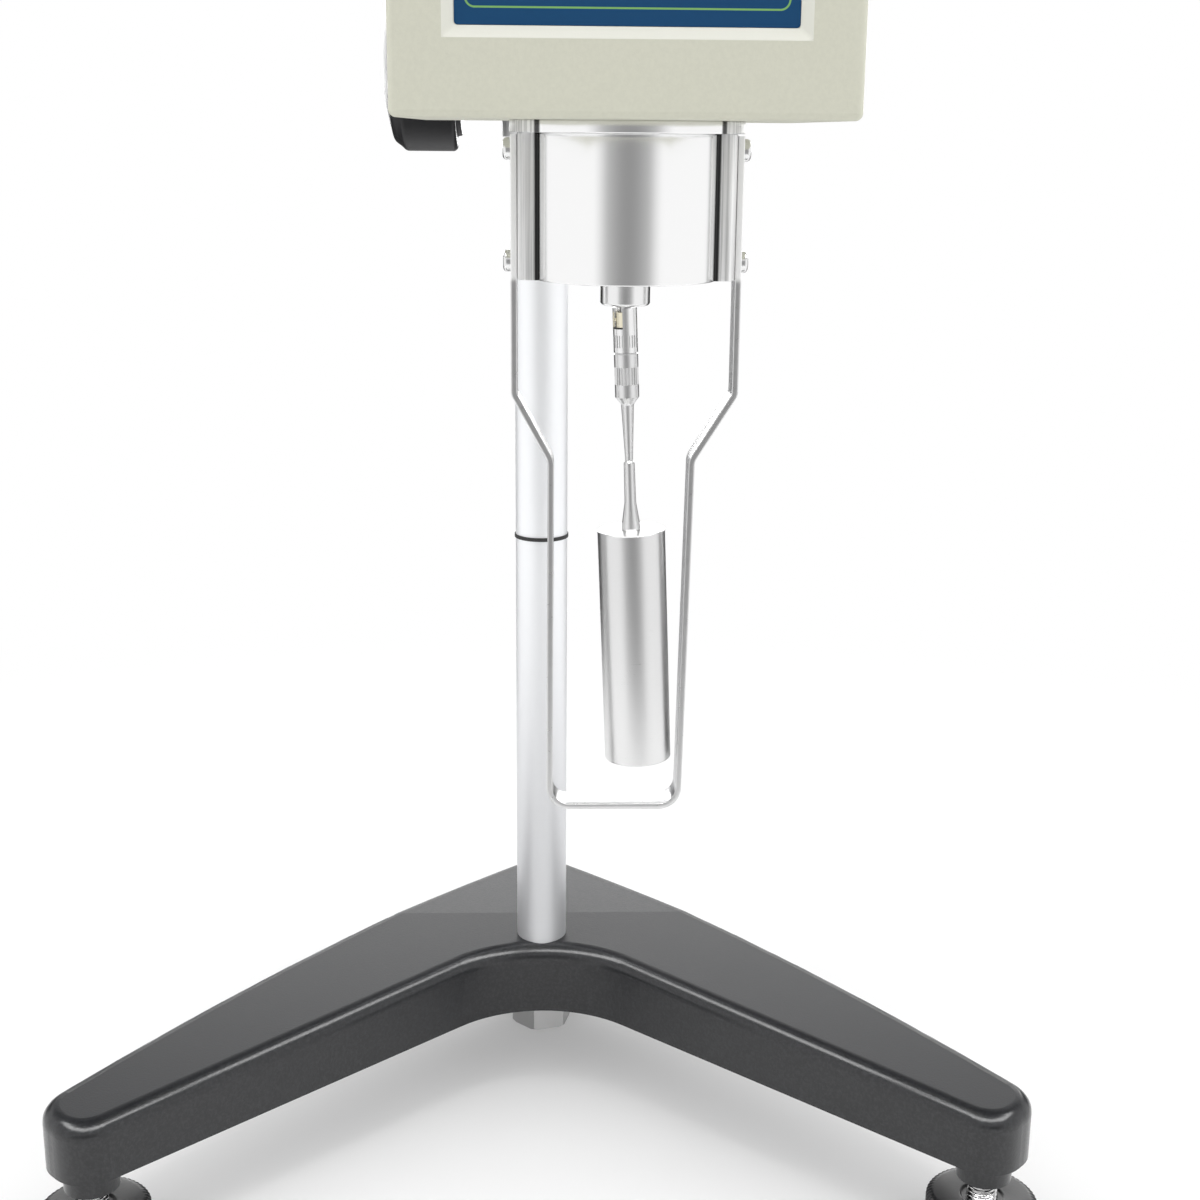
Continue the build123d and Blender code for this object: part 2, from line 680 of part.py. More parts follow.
def head_rear_shell():
    """The moulded cover: sides, top, underside and rear wall with their openings."""
    shell = rounded_shell(HEAD_SEAM, HEAD_REAR, True, False)
    shell -= bar_z(COLLAR_BORE_R, HEAD_LOW - 1, CHASSIS_LOW + 1, SPINDLE_X, SPINDLE_Y)
    shell -= bar_y(ROD_R + SEAT, HEAD_REAR - HEAD_WALL - 1, HEAD_REAR + 1, ROD_X, ROD_Z)
    half_w, half_h = INLET_BODY_W / 2 + PANEL_SEAT, INLET_BODY_H / 2 + PANEL_SEAT
    shell -= block(
        (INLET_X - half_w, INLET_X + half_w),
        (HEAD_REAR - HEAD_WALL - 1, HEAD_REAR + 1),
        (INLET_Z - half_h, INLET_Z + half_h),
    )
    shell -= bar_z(LEVEL_STEM_R + SEAT, HEAD_TOP - HEAD_WALL - 1, HEAD_TOP + 1, HEAD_X, LEVEL_Y)
    for face, inward in seam_sides():
        for lift in SEAM_SCREW_Z:
            shell -= seam_screw(face, inward, HEAD_LOW + lift, SEAT)
    for x, y in collar_screws_at():
        shell -= bar_z(SCREW_R + SEAT, HEAD_LOW - 1, CHASSIS_LOW + 1, x, y)
    for x, z in rod_screws_at():
        shell -= bar_y(SCREW_R + SEAT, HEAD_REAR - HEAD_WALL - 1, HEAD_REAR + 1, x, z)
    keep("head_rear_shell", shell)


def panel_recess():
    """The bevelled well that the keypad plate lies in."""
    outer = (PANEL_W + 2 * BEVEL_W, PANEL_H + 2 * BEVEL_W)
    inner = (PANEL_W + 2 * PANEL_SEAT, PANEL_H + 2 * PANEL_SEAT)
    faces = []
    for (width, height), y in ((outer, HEAD_FRONT), (inner, PANEL_FACE)):
        outline = RectangleRounded(width, height, PANEL_ROUND)
        faces.append(Pos(HEAD_X, y, PANEL_Z) * Rot(-90, 0, 0) * outline)
    well = loft(Sketch() + faces)
    depth = PANEL_T + 0.01
    seat = facing_front(*inner, PANEL_ROUND, PANEL_FACE - 0.01, depth, HEAD_X, PANEL_Z)
    return well, seat


def key_places():
    """Each key's name with its place on the panel."""
    places = []
    for row, names in enumerate(KEY_NAMES):
        for column_number, name in enumerate(names):
            x = HEAD_X + (column_number - 1) * KEY_STEP_X
            places.append((name, x, PANEL_LOW + KEY_ROW_LIFT + row * KEY_STEP_Z))
    return places


def panel_holes(front, depth):
    """What is cut through the plate and the wall behind it for the window and the keys."""
    edge = AIR
    holes = [facing_front(LCD_W + 2 * PANEL_SEAT, LCD_H + 2 * PANEL_SEAT, 1.5, front, depth, HEAD_X, LCD_Z)]
    for _, x, z in key_places():
        holes.append(facing_front(KEY_W + 2 * edge, KEY_H + 2 * edge, KEY_ROUND, front, depth, x, z))
    return holes


def board_corners():
    """Where the front board's standoffs stand."""
    half_w, half_h = FRONT_BOARD_W / 2 - 4, FRONT_BOARD_H / 2 - 4
    middle = FRONT_BOARD_Z
    return [(HEAD_X + i * half_w, middle + k * half_h) for i in (-1, 1) for k in (-1, 1)]


def head_front_panel():
    """The front moulding with its bevelled well, standoffs and seam tabs."""
    panel = rounded_shell(HEAD_FRONT, HEAD_SEAM, False, True)
    well, seat = panel_recess()
    panel = panel - well - seat
    for hole in panel_holes(HEAD_FRONT - 1, FRONT_WALL + 2):
        panel -= hole
    for x, z in board_corners():
        panel += bar_y(STANDOFF_R, FRONT_WALL_BACK, FRONT_BOARD_Y, x, z)
    for face, inward in seam_sides():
        near = face + inward * (HEAD_WALL + PANEL_SEAT)
        far = near + inward * HEAD_WALL
        for lift in SEAM_SCREW_Z:
            z = HEAD_LOW + lift
            tab = block(
                (min(near, far), max(near, far)),
                (HEAD_SEAM - SEAM_TAB_REACH / 2, HEAD_SEAM + SEAM_TAB_REACH),
                (z - SEAM_TAB_W / 2, z + SEAM_TAB_W / 2),
            )
            root = block(
                (min(face + inward, far), max(face + inward, far)),
                (HEAD_SEAM - SEAM_TAB_REACH / 2, HEAD_SEAM - AIR),
                (z - SEAM_TAB_W / 2, z + SEAM_TAB_W / 2),
            )
            panel += tab + root
            panel -= seam_screw(face, inward, z, SEAT)
    keep("head_front_panel", panel)


def housing_screws():
    """Four countersunk screws that hold the rear cover on the front moulding."""
    screws = []
    for face, inward in seam_sides():
        screws += [seam_screw(face, inward, HEAD_LOW + lift) for lift in SEAM_SCREW_Z]
    keep("housing_screws", *screws)


def front_fittings():
    """The keypad plate, the display window, and the board with the display module on it."""
    plate = facing_front(PANEL_W, PANEL_H, PANEL_ROUND, PANEL_FACE, PANEL_T, HEAD_X, PANEL_Z)
    for hole in panel_holes(PANEL_FACE - 1, PANEL_T + 2):
        plate -= hole
    keep("keypad_plate", plate)
    keep("lcd_window", facing_front(LCD_W, LCD_H, 1.5, PANEL_FACE, PANEL_T, HEAD_X, LCD_Z))
    size = (LCD_W + 2 * LCD_FRAME, LCD_H + 2 * LCD_FRAME)
    module = facing_front(*size, 1.0, FRONT_WALL_BACK + AIR, BOARD_GAP - AIR, HEAD_X, LCD_Z)
    sight = facing_front(LCD_W - 4, LCD_H - 4, 1.0, FRONT_WALL_BACK, AIR + 0.8, HEAD_X, LCD_Z)
    board = facing_front(
        FRONT_BOARD_W, FRONT_BOARD_H, 3.0, FRONT_BOARD_Y, BOARD_T, HEAD_X, FRONT_BOARD_Z
    )
    keep("display_board", board + (module - sight))


def keys():
    """Sprung push keys with a retaining lip behind the front wall."""
    for name, x, z in key_places():
        front = PANEL_FACE - KEY_PROUD
        rear = FRONT_BOARD_Y - KEY_TRAVEL - 0.1
        key = facing_front(KEY_W, KEY_H, KEY_ROUND, front, rear - front, x, z)
        key = fillet(key.faces().sort_by(Axis.Y)[0].edges(), 0.4)
        lip = facing_front(
            KEY_W + 2 * KEY_LIP, KEY_H + 2 * KEY_LIP, KEY_ROUND, FRONT_WALL_BACK + AIR, KEY_LIP, x, z
        )
        keep("key_" + name, key + lip)


def level():
    """The round bubble level on top of the head."""
    stem_low = HEAD_TOP - LEVEL_SINK
    housing = bar_z(LEVEL_STEM_R, stem_low, HEAD_TOP, HEAD_X, LEVEL_Y)
    housing += bar_z(LEVEL_R, HEAD_TOP, HEAD_TOP + LEVEL_H, HEAD_X, LEVEL_Y)
    vial_top = HEAD_TOP + LEVEL_H + VIAL_PROUD
    vial = bar_z(VIAL_R, vial_top - VIAL_H, vial_top, HEAD_X, LEVEL_Y)
    vial = fillet(vial.edges().sort_by(Axis.Z)[-1:], 0.6)
    keep("level_housing", housing - bar_z(VIAL_R + SEAT, vial_top - VIAL_H, vial_top, HEAD_X, LEVEL_Y))
    keep("level_vial", vial)


# ------------------------------------------------------------ power entry
def power_inlet():
    """The mains inlet with its three pins, and the well of the power switch above it."""
    flange_rear = HEAD_REAR + INLET_FLANGE
    inlet = facing_front(INLET_W, INLET_H, INLET_ROUND, HEAD_REAR, INLET_FLANGE, INLET_X, INLET_Z)
    front = HEAD_REAR - INLET_BODY_D
    inlet += facing_front(INLET_BODY_W, INLET_BODY_H, 1.0, front, INLET_BODY_D, INLET_X, INLET_Z)
    z = INLET_Z - SOCKET_DROP
    mouth = flange_rear - SOCKET_DEPTH
    socket = facing_front(SOCKET_W, SOCKET_H, 3.0, mouth, SOCKET_DEPTH + 1, INLET_X, z)
    well_z = INLET_Z + ROCKER_LIFT
    well = block(
        (INLET_X - ROCKER_W / 2 - AIR, INLET_X + ROCKER_W / 2 + AIR),
        (flange_rear - ROCKER_WELL_DEPTH, flange_rear + 1),
        (well_z - ROCKER_WELL_H / 2, well_z + ROCKER_WELL_H / 2),
    )
    inlet = inlet - socket - well
    reach = ROCKER_W / 2 + ROCKER_PIN_OUT + AIR
    pivot_y = flange_rear - ROCKER_PIVOT_IN
    inlet -= bar_x(ROCKER_PIN_R + RUN, INLET_X - reach, INLET_X + reach, pivot_y, well_z)
    for step, rise in ((-1, -PIN_RISE / 2), (0, PIN_RISE), (1, -PIN_RISE / 2)):
        x = INLET_X + step * PIN_STEP
        inlet += block(
            (x - PIN_W / 2, x + PIN_W / 2), (mouth - 1, mouth + PIN_LENGTH),
            (z + rise - PIN_H / 2, z + rise + PIN_H / 2),
        )
    keep("power_inlet", inlet)


def switch_rocker():
    """The rocker of the power switch, pressed to one side."""
    blade = extrude(Plane.YZ * Polygon(*ROCKER_OUTLINE, align=None), amount=ROCKER_W / 2, both=True)
    reach = ROCKER_W / 2 + ROCKER_PIN_OUT
    blade += bar_x(ROCKER_PIN_R, -reach, reach, 0, 0)
    pivot_y = HEAD_REAR + INLET_FLANGE - ROCKER_PIVOT_IN
    place = Pos(INLET_X, pivot_y, INLET_Z + ROCKER_LIFT)
    keep("switch_rocker", place * Rot(ROCKER_REST, 0, 0) * blade)


# ------------------------------------------------------------ chassis and rod
def collar_screws_at():
    """Plan places of the four screws that hang the collar from the chassis."""
    places = []
    for angle in around(4, 45):
        turn = math.radians(angle)
        x = SPINDLE_X + COLLAR_SCREW_R * math.cos(turn)
        places.append((x, SPINDLE_Y + COLLAR_SCREW_R * math.sin(turn)))
    return places


def rod_screws_at():
    """Places, on the rear wall, of the four screws of the rod's flange."""
    reach = ROD_R + 3.6
    return [(ROD_X + i * reach, ROD_Z + k * reach) for i in (-1, 1) for k in (-1, 1)]


def chassis_plate():
    """The bent plate that the drive stands on and the rod is bolted to."""
    half = CHASSIS_W / 2
    rear = HEAD_REAR - HEAD_WALL
    plate = block((HEAD_X - half, HEAD_X + half), (CHASSIS_FRONT, rear), (CHASSIS_LOW, CHASSIS_TOP))
    plate += block(
        (ROD_X - UPRIGHT_W / 2, ROD_X + UPRIGHT_W / 2), (rear - CHASSIS_T, rear), (CHASSIS_LOW, UPRIGHT_TOP)
    )
    plate -= bar_z(COLLAR_BORE_R, CHASSIS_LOW - 1, CHASSIS_TOP + 1, SPINDLE_X, SPINDLE_Y)
    plate -= bar_y(ROD_R + SEAT, rear - CHASSIS_T - 1, rear + 1, ROD_X, ROD_Z)
    for x, y in collar_screws_at():
        plate -= bar_z(SCREW_R + SEAT, CHASSIS_LOW - 1, CHASSIS_TOP + 1, x, y)
    for x, z in rod_screws_at():
        plate -= bar_y(SCREW_R + SEAT, rear - CHASSIS_T - 1, rear + 1, x, z)
    keep("chassis_plate", plate)


def head_rod():
    """The rod that carries the head, with its locking groove, and its flange."""
    front = HEAD_REAR - HEAD_WALL - CHASSIS_T
    rod = bar_y(ROD_R, front, ROD_REAR, ROD_X, ROD_Z)
    rod = chamfer(rod.edges().sort_by(Axis.Y)[-1:], 1.0)
    half = ROD_GROOVE_W / 2
    groove = bar_y(ROD_R + 1, ROD_GROOVE_Y - half, ROD_GROOVE_Y + half, ROD_X, ROD_Z)
    groove -= bar_y(ROD_R - ROD_GROOVE_DEPTH, ROD_GROOVE_Y - half, ROD_GROOVE_Y + half, ROD_X, ROD_Z)
    keep("head_rod", rod - groove)
    flange = bar_y(2.9 * ROD_R, HEAD_REAR, HEAD_REAR + ROD_R, ROD_X, ROD_Z)
    flange = chamfer(flange.edges().sort_by(Axis.Y)[-1:], 1.0)
    flange -= bar_y(ROD_R + SEAT, HEAD_REAR - 1, HEAD_REAR + ROD_R + 1, ROD_X, ROD_Z)
    for x, z in rod_screws_at():
        flange -= bar_y(SCREW_R + SEAT, HEAD_REAR - 1, HEAD_REAR + ROD_R + 1, x, z)
    keep("rod_flange", flange)


def chassis_screws():
    """The screws of the collar, with heads on the chassis, and those of the rod's flange."""
    screws = []
    for x, y in collar_screws_at():
        screw = bar_z(SCREW_R, COLLAR_SCREW_LOW, CHASSIS_TOP, x, y)
        screws.append(screw + bar_z(SCREW_HEAD_R, CHASSIS_TOP, CHASSIS_TOP + SCREW_HEAD_H, x, y))
    front, seat = HEAD_REAR - HEAD_WALL - CHASSIS_T, HEAD_REAR + ROD_R
    for x, z in rod_screws_at():
        screw = bar_y(SCREW_R, front, seat, x, z)
        screws.append(screw + bar_y(SCREW_HEAD_R, seat, seat + SCREW_HEAD_H, x, z))
    keep("chassis_screws", *screws)


# ------------------------------------------------------------ drive
def pillars_at():
    """Plan places of the frame's four pillars."""
    signs = [(i, k) for i in (-1, 1) for k in (-1, 1)]
    return [(SPINDLE_X + i * PILLAR_AT, SPINDLE_Y + k * PILLAR_AT) for i, k in signs]


def drive_frame():
    """The pillars and the plate that hold the motor over the pivot."""
    pillars = []
    for x, y in pillars_at():
        pillars.append(hexagon(PILLAR_AF, CHASSIS_TOP, MOTOR_PLATE_LOW, x, y))
        pillars.append(hexagon(PILLAR_AF, MOTOR_PLATE_TOP, MAIN_BOARD_LOW, x, y))
    keep("frame_pillars", *pillars)
    outline = Pos(SPINDLE_X, SPINDLE_Y, MOTOR_PLATE_LOW) * RectangleRounded(MOTOR_PLATE_W, MOTOR_PLATE_W, 5)
    plate = extrude(outline, amount=MOTOR_PLATE_T)
    hole = bar_z(DRIVE_HUB_R, MOTOR_PLATE_LOW - 1, MOTOR_PLATE_TOP + 1, SPINDLE_X, SPINDLE_Y)
    keep("motor_plate", plate - hole)


def motor():
    """The drive motor: a flanged can with a bore for its own shaft."""
    top = MOTOR_PLATE_TOP + MOTOR_H
    can = bar_z(MOTOR_R, MOTOR_PLATE_TOP, top, SPINDLE_X, SPINDLE_Y)
    can = fillet(can.edges().sort_by(Axis.Z)[-1:], MOTOR_RIM)
    can += bar_z(MOTOR_R + 2, MOTOR_PLATE_TOP, MOTOR_PLATE_TOP + MOTOR_RIM, SPINDLE_X, SPINDLE_Y)
    bore = bar_z(MOTOR_SHAFT_R + RUN, MOTOR_PLATE_TOP - 1, MOTOR_PLATE_TOP + MOTOR_SHAFT_IN, SPINDLE_X, SPINDLE_Y)
    keep("motor", can - bore)


def encoder_disc(bore_r, low):
    """A slotted disc that a light sensor reads."""
    disc = bar_z(DISC_OUTER_R, low, low + ENCODER_T) - bar_z(bore_r, low - 1, low + ENCODER_T + 1)
    slot = block((DISC_OUTER_R - 5, DISC_OUTER_R + 1), (-1.2, 1.2), (low - 1, low + ENCODER_T + 1))
    for angle in around(ENCODER_SLOTS, 180 / ENCODER_SLOTS):
        disc -= Rot(0, 0, angle) * slot
    return Pos(SPINDLE_X, SPINDLE_Y, 0) * disc


def spring_end_r():
    """The radius of the hairspring's outer end."""
    return SPRING_IN_R + SPRING_HALF_TURNS * SPRING_PITCH / 2 - SPRING_PITCH / 4


def drive():
    """What turns with the motor: hub, slotted disc and hairspring."""
    low, high = DRIVE_HUB_Z
    hub = bar_z(DRIVE_HUB_R - AIR, low, high)
    hub += bar_z(MOTOR_SHAFT_R, high, MOTOR_PLATE_TOP + MOTOR_SHAFT_IN - AIR)
    keep("drive_hub", Pos(SPINDLE_X, SPINDLE_Y, 0) * hub)
    disc = encoder_disc(DRIVE_HUB_R - AIR + SEAT, UPPER_ENCODER_Z)
    post_x = SPINDLE_X + spring_end_r() * (1 if SPRING_HALF_TURNS % 2 == 0 else -1)
    post = bar_z(1.0, SPRING_Z + SPRING_H, UPPER_ENCODER_Z, post_x, SPINDLE_Y)
    keep("upper_encoder_disc", disc + post)


def hairspring():
    """The flat spiral spring, built from half rings about two centres."""
    spiral = None
    reach = SPRING_IN_R + SPRING_HALF_TURNS * SPRING_PITCH
    for step in range(SPRING_HALF_TURNS):
        radius = SPRING_IN_R + step * SPRING_PITCH / 2
        centre = SPRING_PITCH / 4 * (1 if step % 2 else -1)
        side = 1 if step % 2 else -1
        ring = Circle(radius + SPRING_T / 2) - Circle(radius - SPRING_T / 2)
        half = Pos(centre, 0) * ring & Pos(0, side * reach / 2) * Rectangle(2 * reach, reach)
        spiral = half if spiral is None else spiral + half
    keep("hairspring", extrude(Pos(SPINDLE_X, SPINDLE_Y, SPRING_Z) * spiral, amount=SPRING_H))


def pivot():
    """What the spring turns: the pivot shaft with its collet, and the lower slotted disc."""
    shaft = bar_z(PIVOT_R, PIVOT_Z - BLOCK_HALF_H, PIVOT_TOP, SPINDLE_X, SPINDLE_Y)
    shaft += bar_z(COLLET_R, *COLLET_Z, SPINDLE_X, SPINDLE_Y)
    hole = bar_y(JOINT_PIN_R + RUN, SPINDLE_Y - 2 * PIVOT_R, SPINDLE_Y + 2 * PIVOT_R, SPINDLE_X, PIVOT_Z)
    keep("pivot_shaft", shaft - hole)
    keep("lower_encoder_disc", encoder_disc(COLLET_R + SEAT, LOWER_ENCODER_Z))


def photo_sensors():
    """Two fork sensors on one bracket that hangs from the motor plate."""
    outer = SPINDLE_X + DISC_OUTER_R + 6
    inner = SPINDLE_X + DISC_OUTER_R - SENSOR_BITE
    span = (SPINDLE_Y - SENSOR_W / 2, SPINDLE_Y + SENSOR_W / 2)
    sensor = block((outer - SENSOR_T, outer), span, (LOWER_ENCODER_Z - SENSOR_W / 2, MOTOR_PLATE_LOW))
    for disc_z in (LOWER_ENCODER_Z, UPPER_ENCODER_Z):
        middle = disc_z + ENCODER_T / 2
        fork = block((inner, outer), span, (middle - SENSOR_W / 2, middle + SENSOR_W / 2))
        gap = ENCODER_T / 2 + 1.0
        fork -= block((inner - 1, SPINDLE_X + DISC_OUTER_R + 1), span, (middle - gap, middle + gap))
        sensor += fork
    keep("photo_sensors", sensor)


def boards():
    """The main board over the motor, and the power unit beside the pillars."""
    half = MAIN_BOARD_W / 2
    span_x, span_y = (SPINDLE_X - half, SPINDLE_X + half), (SPINDLE_Y - half + 5, SPINDLE_Y + half + 5)
    board = block(span_x, span_y, (MAIN_BOARD_LOW, MAIN_BOARD_LOW + BOARD_T))
    top = MAIN_BOARD_LOW + BOARD_T
    board += block((SPINDLE_X - 12, SPINDLE_X + 12), (SPINDLE_Y - 12, SPINDLE_Y + 12), (top, top + 3))
    board += block((span_x[0] + 3, span_x[0] + 11), (SPINDLE_Y - 20, SPINDLE_Y + 20), (top, top + 9))
    board += bar_z(6, top, top + 14, SPINDLE_X + 28, SPINDLE_Y + 26)
    keep("main_board", board)
    left = HEAD_X - CHASSIS_W / 2
    core = block((left, left + 20), (SPINDLE_Y - 22, SPINDLE_Y + 20), (CHASSIS_TOP, CHASSIS_TOP + 34))
    coil = block((left - 1, left + 22), (SPINDLE_Y - 13, SPINDLE_Y + 11), (CHASSIS_TOP + 7, CHASSIS_TOP + 27))
    keep("power_unit", core + fillet(coil.edges().filter_by(Axis.Z), 2.5))


# ------------------------------------------------------------ collar and guard
def ring_plate(outer_r, inner_r, low, high):
    """A flat ring about the spindle axis."""
    ring = bar_z(outer_r, low, high) - bar_z(inner_r, low - 1, high + 1)
    return Pos(SPINDLE_X, SPINDLE_Y, 0) * ring


def collar_flange():
    """The polished flange between the head and the collar."""
    flange = ring_plate(FLANGE_R, COLLAR_BORE_R, FLANGE_LOW, HEAD_LOW)
    for x, y in collar_screws_at():
        flange -= bar_z(SCREW_R + SEAT, FLANGE_LOW - 1, HEAD_LOW + 1, x, y)
    keep("collar_flange", flange)


def collar():
    """The turned collar with a milled bar on each side for the guard."""
    body = bar_z(COLLAR_R, COLLAR_LOW, FLANGE_LOW)
    bars = Rectangle(2 * BAR_OUTER, 2 * BAR_HALF_Y)
    bars = fillet(bars.vertices(), BAR_ROUND)
    body += extrude(Pos(0, 0, COLLAR_LOW) * bars, amount=FLANGE_LOW - COLLAR_LOW)
    body -= bar_z(COLLAR_BORE_R, COLLAR_LOW + COLLAR_FLOOR, FLANGE_LOW + 1)
    body -= bar_z(END_NECK_R + SEAT, COLLAR_LOW - 1, FLANGE_LOW)
    for z in GUARD_SCREW_Z:
        reach = BAR_OUTER + GUARD_T - GUARD_SCREW_REACH - GUARD_T
        for left, right in ((reach, BAR_OUTER + 1), (-BAR_OUTER - 1, -reach)):
            body -= bar_x(SCREW_R + SEAT, left, right, 0, z)
    body = Pos(SPINDLE_X, SPINDLE_Y, 0) * body
    for x, y in collar_screws_at():
        body -= bar_z(SCREW_R + SEAT, COLLAR_SCREW_LOW, FLANGE_LOW + 1, x, y)
    keep("collar", body)


def collar_end_boss():
    """The stepped boss under the collar, bored for the pivot, and its jewel ring."""
    top = COLLAR_LOW + COLLAR_FLOOR
    boss = bar_z(END_BOSS_R, COLLAR_LOW - END_BOSS_H, COLLAR_LOW) + bar_z(END_NECK_R, COLLAR_LOW, top)
    boss = chamfer(boss.edges().sort_by(Axis.Z)[:1], 0.6)
    boss -= bar_z(JEWEL_R + SEAT, top - JEWEL_H, top + 1)
    boss -= bar_z(PIVOT_R + 4 * RUN, 0, top)
    keep("collar_end_boss", Pos(SPINDLE_X, SPINDLE_Y, 0) * boss)
    keep("jewel_bearing", ring_plate(JEWEL_R, PIVOT_R + RUN, top - JEWEL_H, top))


def guard():
    """The bent strip guard: a wide top, a shoulder on each side and a narrow rounded foot."""
    half_top = BAR_OUTER + GUARD_T
    top = FLANGE_LOW - GUARD_TOP_GAP
    right = [(half_top, top + 20), (half_top, GUARD_SHOULDER_Z)]
    left = [(-x, z) for x, z in reversed(right)]
    right += [(GUARD_WAIST_RIGHT, GUARD_WAIST_Z), (GUARD_BOTTOM_RIGHT, GUARD_BOTTOM)]
    points = right + [(-GUARD_BOTTOM_LEFT, GUARD_BOTTOM), (-GUARD_WAIST_LEFT, GUARD_WAIST_Z)] + left
    radii = [GUARD_BEND_R, GUARD_BEND_R, GUARD_CORNER_R]
    outer_path = FilletPolyline(*points, radius=radii + radii[::-1])
    outer = make_face([outer_path, Line(points[-1], points[0])])
    ring = outer - offset(outer, amount=-GUARD_T, kind=Kind.INTERSECTION)
    strip = extrude(Plane.XZ * ring, amount=GUARD_W / 2, both=True)
    strip -= block((-60, 60), (-GUARD_W, GUARD_W), (top, top + 40))
    for z in GUARD_SCREW_Z:
        strip -= bar_x(SCREW_R + SEAT, -60, 60, 0, z)
    keep("guard", Pos(SPINDLE_X, SPINDLE_Y, 0) * strip)


def guard_screws():
    """Two domed screws on each side that hold the guard to the collar."""
    screws = []
    seat = BAR_OUTER + GUARD_T
    for side in (1, -1):
        for z in GUARD_SCREW_Z:
            head = bar_z(GUARD_SCREW_HEAD_R, 0, GUARD_SCREW_HEAD_H)
            head = fillet(head.edges().sort_by(Axis.Z)[-1:], 1.1)
            head -= block((-4, 4), (-0.35, 0.35), (GUARD_SCREW_HEAD_H - 0.9, GUARD_SCREW_HEAD_H + 1))
            screw = head + bar_z(SCREW_R, -GUARD_SCREW_REACH, 0)
            place = Pos(SPINDLE_X + side * seat, SPINDLE_Y, z) * Rot(0, 90 * side, 0)
            screws.append(place * screw)
    keep("guard_screws", *screws)


# ------------------------------------------------------------ universal joint and spindle
def hanging(piece):
    """Leans a piece that is modelled about an upright spindle axis at X = Y = 0."""
    about_pivot = Rot(0, -LEAN, 0) * Pos(0, 0, -PIVOT_Z) * piece
    return Pos(SPINDLE_X, SPINDLE_Y, PIVOT_Z) * about_pivot


def knurl(low, high):
    """A band of fine straight flutes to cut from the coupler."""
    flute = block((SLEEVE_R - KNURL_DEPTH, SLEEVE_R + 1), (-0.22, 0.22), (low, high))
    return [Rot(0, 0, angle) * flute for angle in around(KNURL_TEETH)]


def uj_block():
    """The brass cross: a ring on a pin through the pivot shaft, with two side trunnions."""
    low, high = PIVOT_Z - BLOCK_HALF_H, PIVOT_Z + BLOCK_HALF_H
    ring = bar_z(BLOCK_R, low, high) - bar_z(BLOCK_BORE_R, low - 1, high + 1)
    ring += bar_y(JOINT_PIN_R, -BLOCK_R + 0.2, BLOCK_R - 0.2, 0, PIVOT_Z)
    inner = (BLOCK_BORE_R + BLOCK_R) / 2
    for left, right in ((inner, SLEEVE_R), (-SLEEVE_R, -inner)):
        ring += bar_x(JOINT_PIN_R, left, right, 0, PIVOT_Z)
    keep("uj_block", hanging(ring))


def coupler_sleeve():
    """The upper coupler: windowed over the brass cross, knurled, with a stud for the spindle."""
    sleeve = bar_z(SLEEVE_R, SPLIT_Z, SLEEVE_TOP)
    sleeve -= bar_z(SLEEVE_BORE_R, SLEEVE_FLOOR, SLEEVE_TOP + 1)
    window = block((0, 2 * SLEEVE_R), (-WINDOW_W / 2, WINDOW_W / 2), (WINDOW_LOW, SLEEVE_TOP + 1))
    for angle in (-135, 45):
        sleeve -= Rot(0, 0, angle) * window
    for flute in knurl(*KNURL_UPPER):
        sleeve -= flute
    sleeve -= bar_x(JOINT_PIN_R + RUN, -2 * SLEEVE_R, 2 * SLEEVE_R, 0, PIVOT_Z)
    keep("coupler_sleeve", hanging(sleeve + bar_z(COUPLER_STUD_R, COUPLER_STUD_LOW, SPLIT_Z)))


def spindle():
    """The spindle: knurled coupling nut, tapered stem with a neck, cone and cylinder."""
    low = ROTOR_TOP - ROTOR_LENGTH
    outline = [
        (0, low), (ROTOR_R - ROTOR_EDGE, low), (ROTOR_R, low + ROTOR_EDGE),
        (ROTOR_R, ROTOR_TOP - ROTOR_EDGE), (ROTOR_R - ROTOR_EDGE, ROTOR_TOP),
        (CONE_FOOT_R, ROTOR_TOP), (CONE_TOP_R, CONE_TOP_Z), (STEM_LOW_R, NECK_Z - 0.6),
        (NECK_R, NECK_Z), (STEM_TOP_R, STEM_TOP_Z), (SLEEVE_R, NUT_SHOULDER_Z),
        (SLEEVE_R, SPLIT_Z - AIR), (0, SPLIT_Z - AIR),
    ]
    body = turned(outline)
    body -= bar_z(COUPLER_STUD_R + SEAT, COUPLER_STUD_LOW - AIR, SPLIT_Z)
    for flute in knurl(*KNURL_LOWER):
        body -= flute
    keep("spindle", hanging(body))


# ------------------------------------------------------------ the whole instrument
def model():
    """Builds every piece in the column's own coordinates."""
    base_casting()
    for name, (x, y) in FEET.items():
        foot_disc(name, x, y)
        foot_stud(name, x, y)
        foot_tip(name, x, y)
    for make in (
        column, column_rack, column_trim, carriage_body, column_bushes, pinion, lift_knob,
        rod_clamp_screw, head_rear_shell, head_front_panel, housing_screws, front_fittings, keys,
        level, power_inlet, switch_rocker, chassis_plate, head_rod, chassis_screws, drive_frame,
        motor, drive, hairspring, pivot, photo_sensors, boards, collar_flange, collar,
        collar_end_boss, guard, guard_screws, uj_block, coupler_sleeve, spindle,
    ):
        make()


def write_parts():
    """Centres the assembly over its plan box and writes one file for each piece."""
    boxes = [piece.bounding_box() for piece in PARTS.values()]
    middle_y = (min(box.min.Y for box in boxes) + max(box.max.Y for box in boxes)) / 2
    os.makedirs("parts", exist_ok=True)
    for name, piece in PARTS.items():
        export_step(Pos(0, -middle_y, 0) * piece, os.path.join("parts", name + ".step"))
    print("pieces", len(PARTS), "column axis at y =", round(-middle_y, 3))


model()
write_parts()
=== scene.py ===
import math

import bmesh
import bpy
from bpy.props import FloatProperty, FloatVectorProperty, IntProperty, PointerProperty
from mathutils import Matrix, Vector


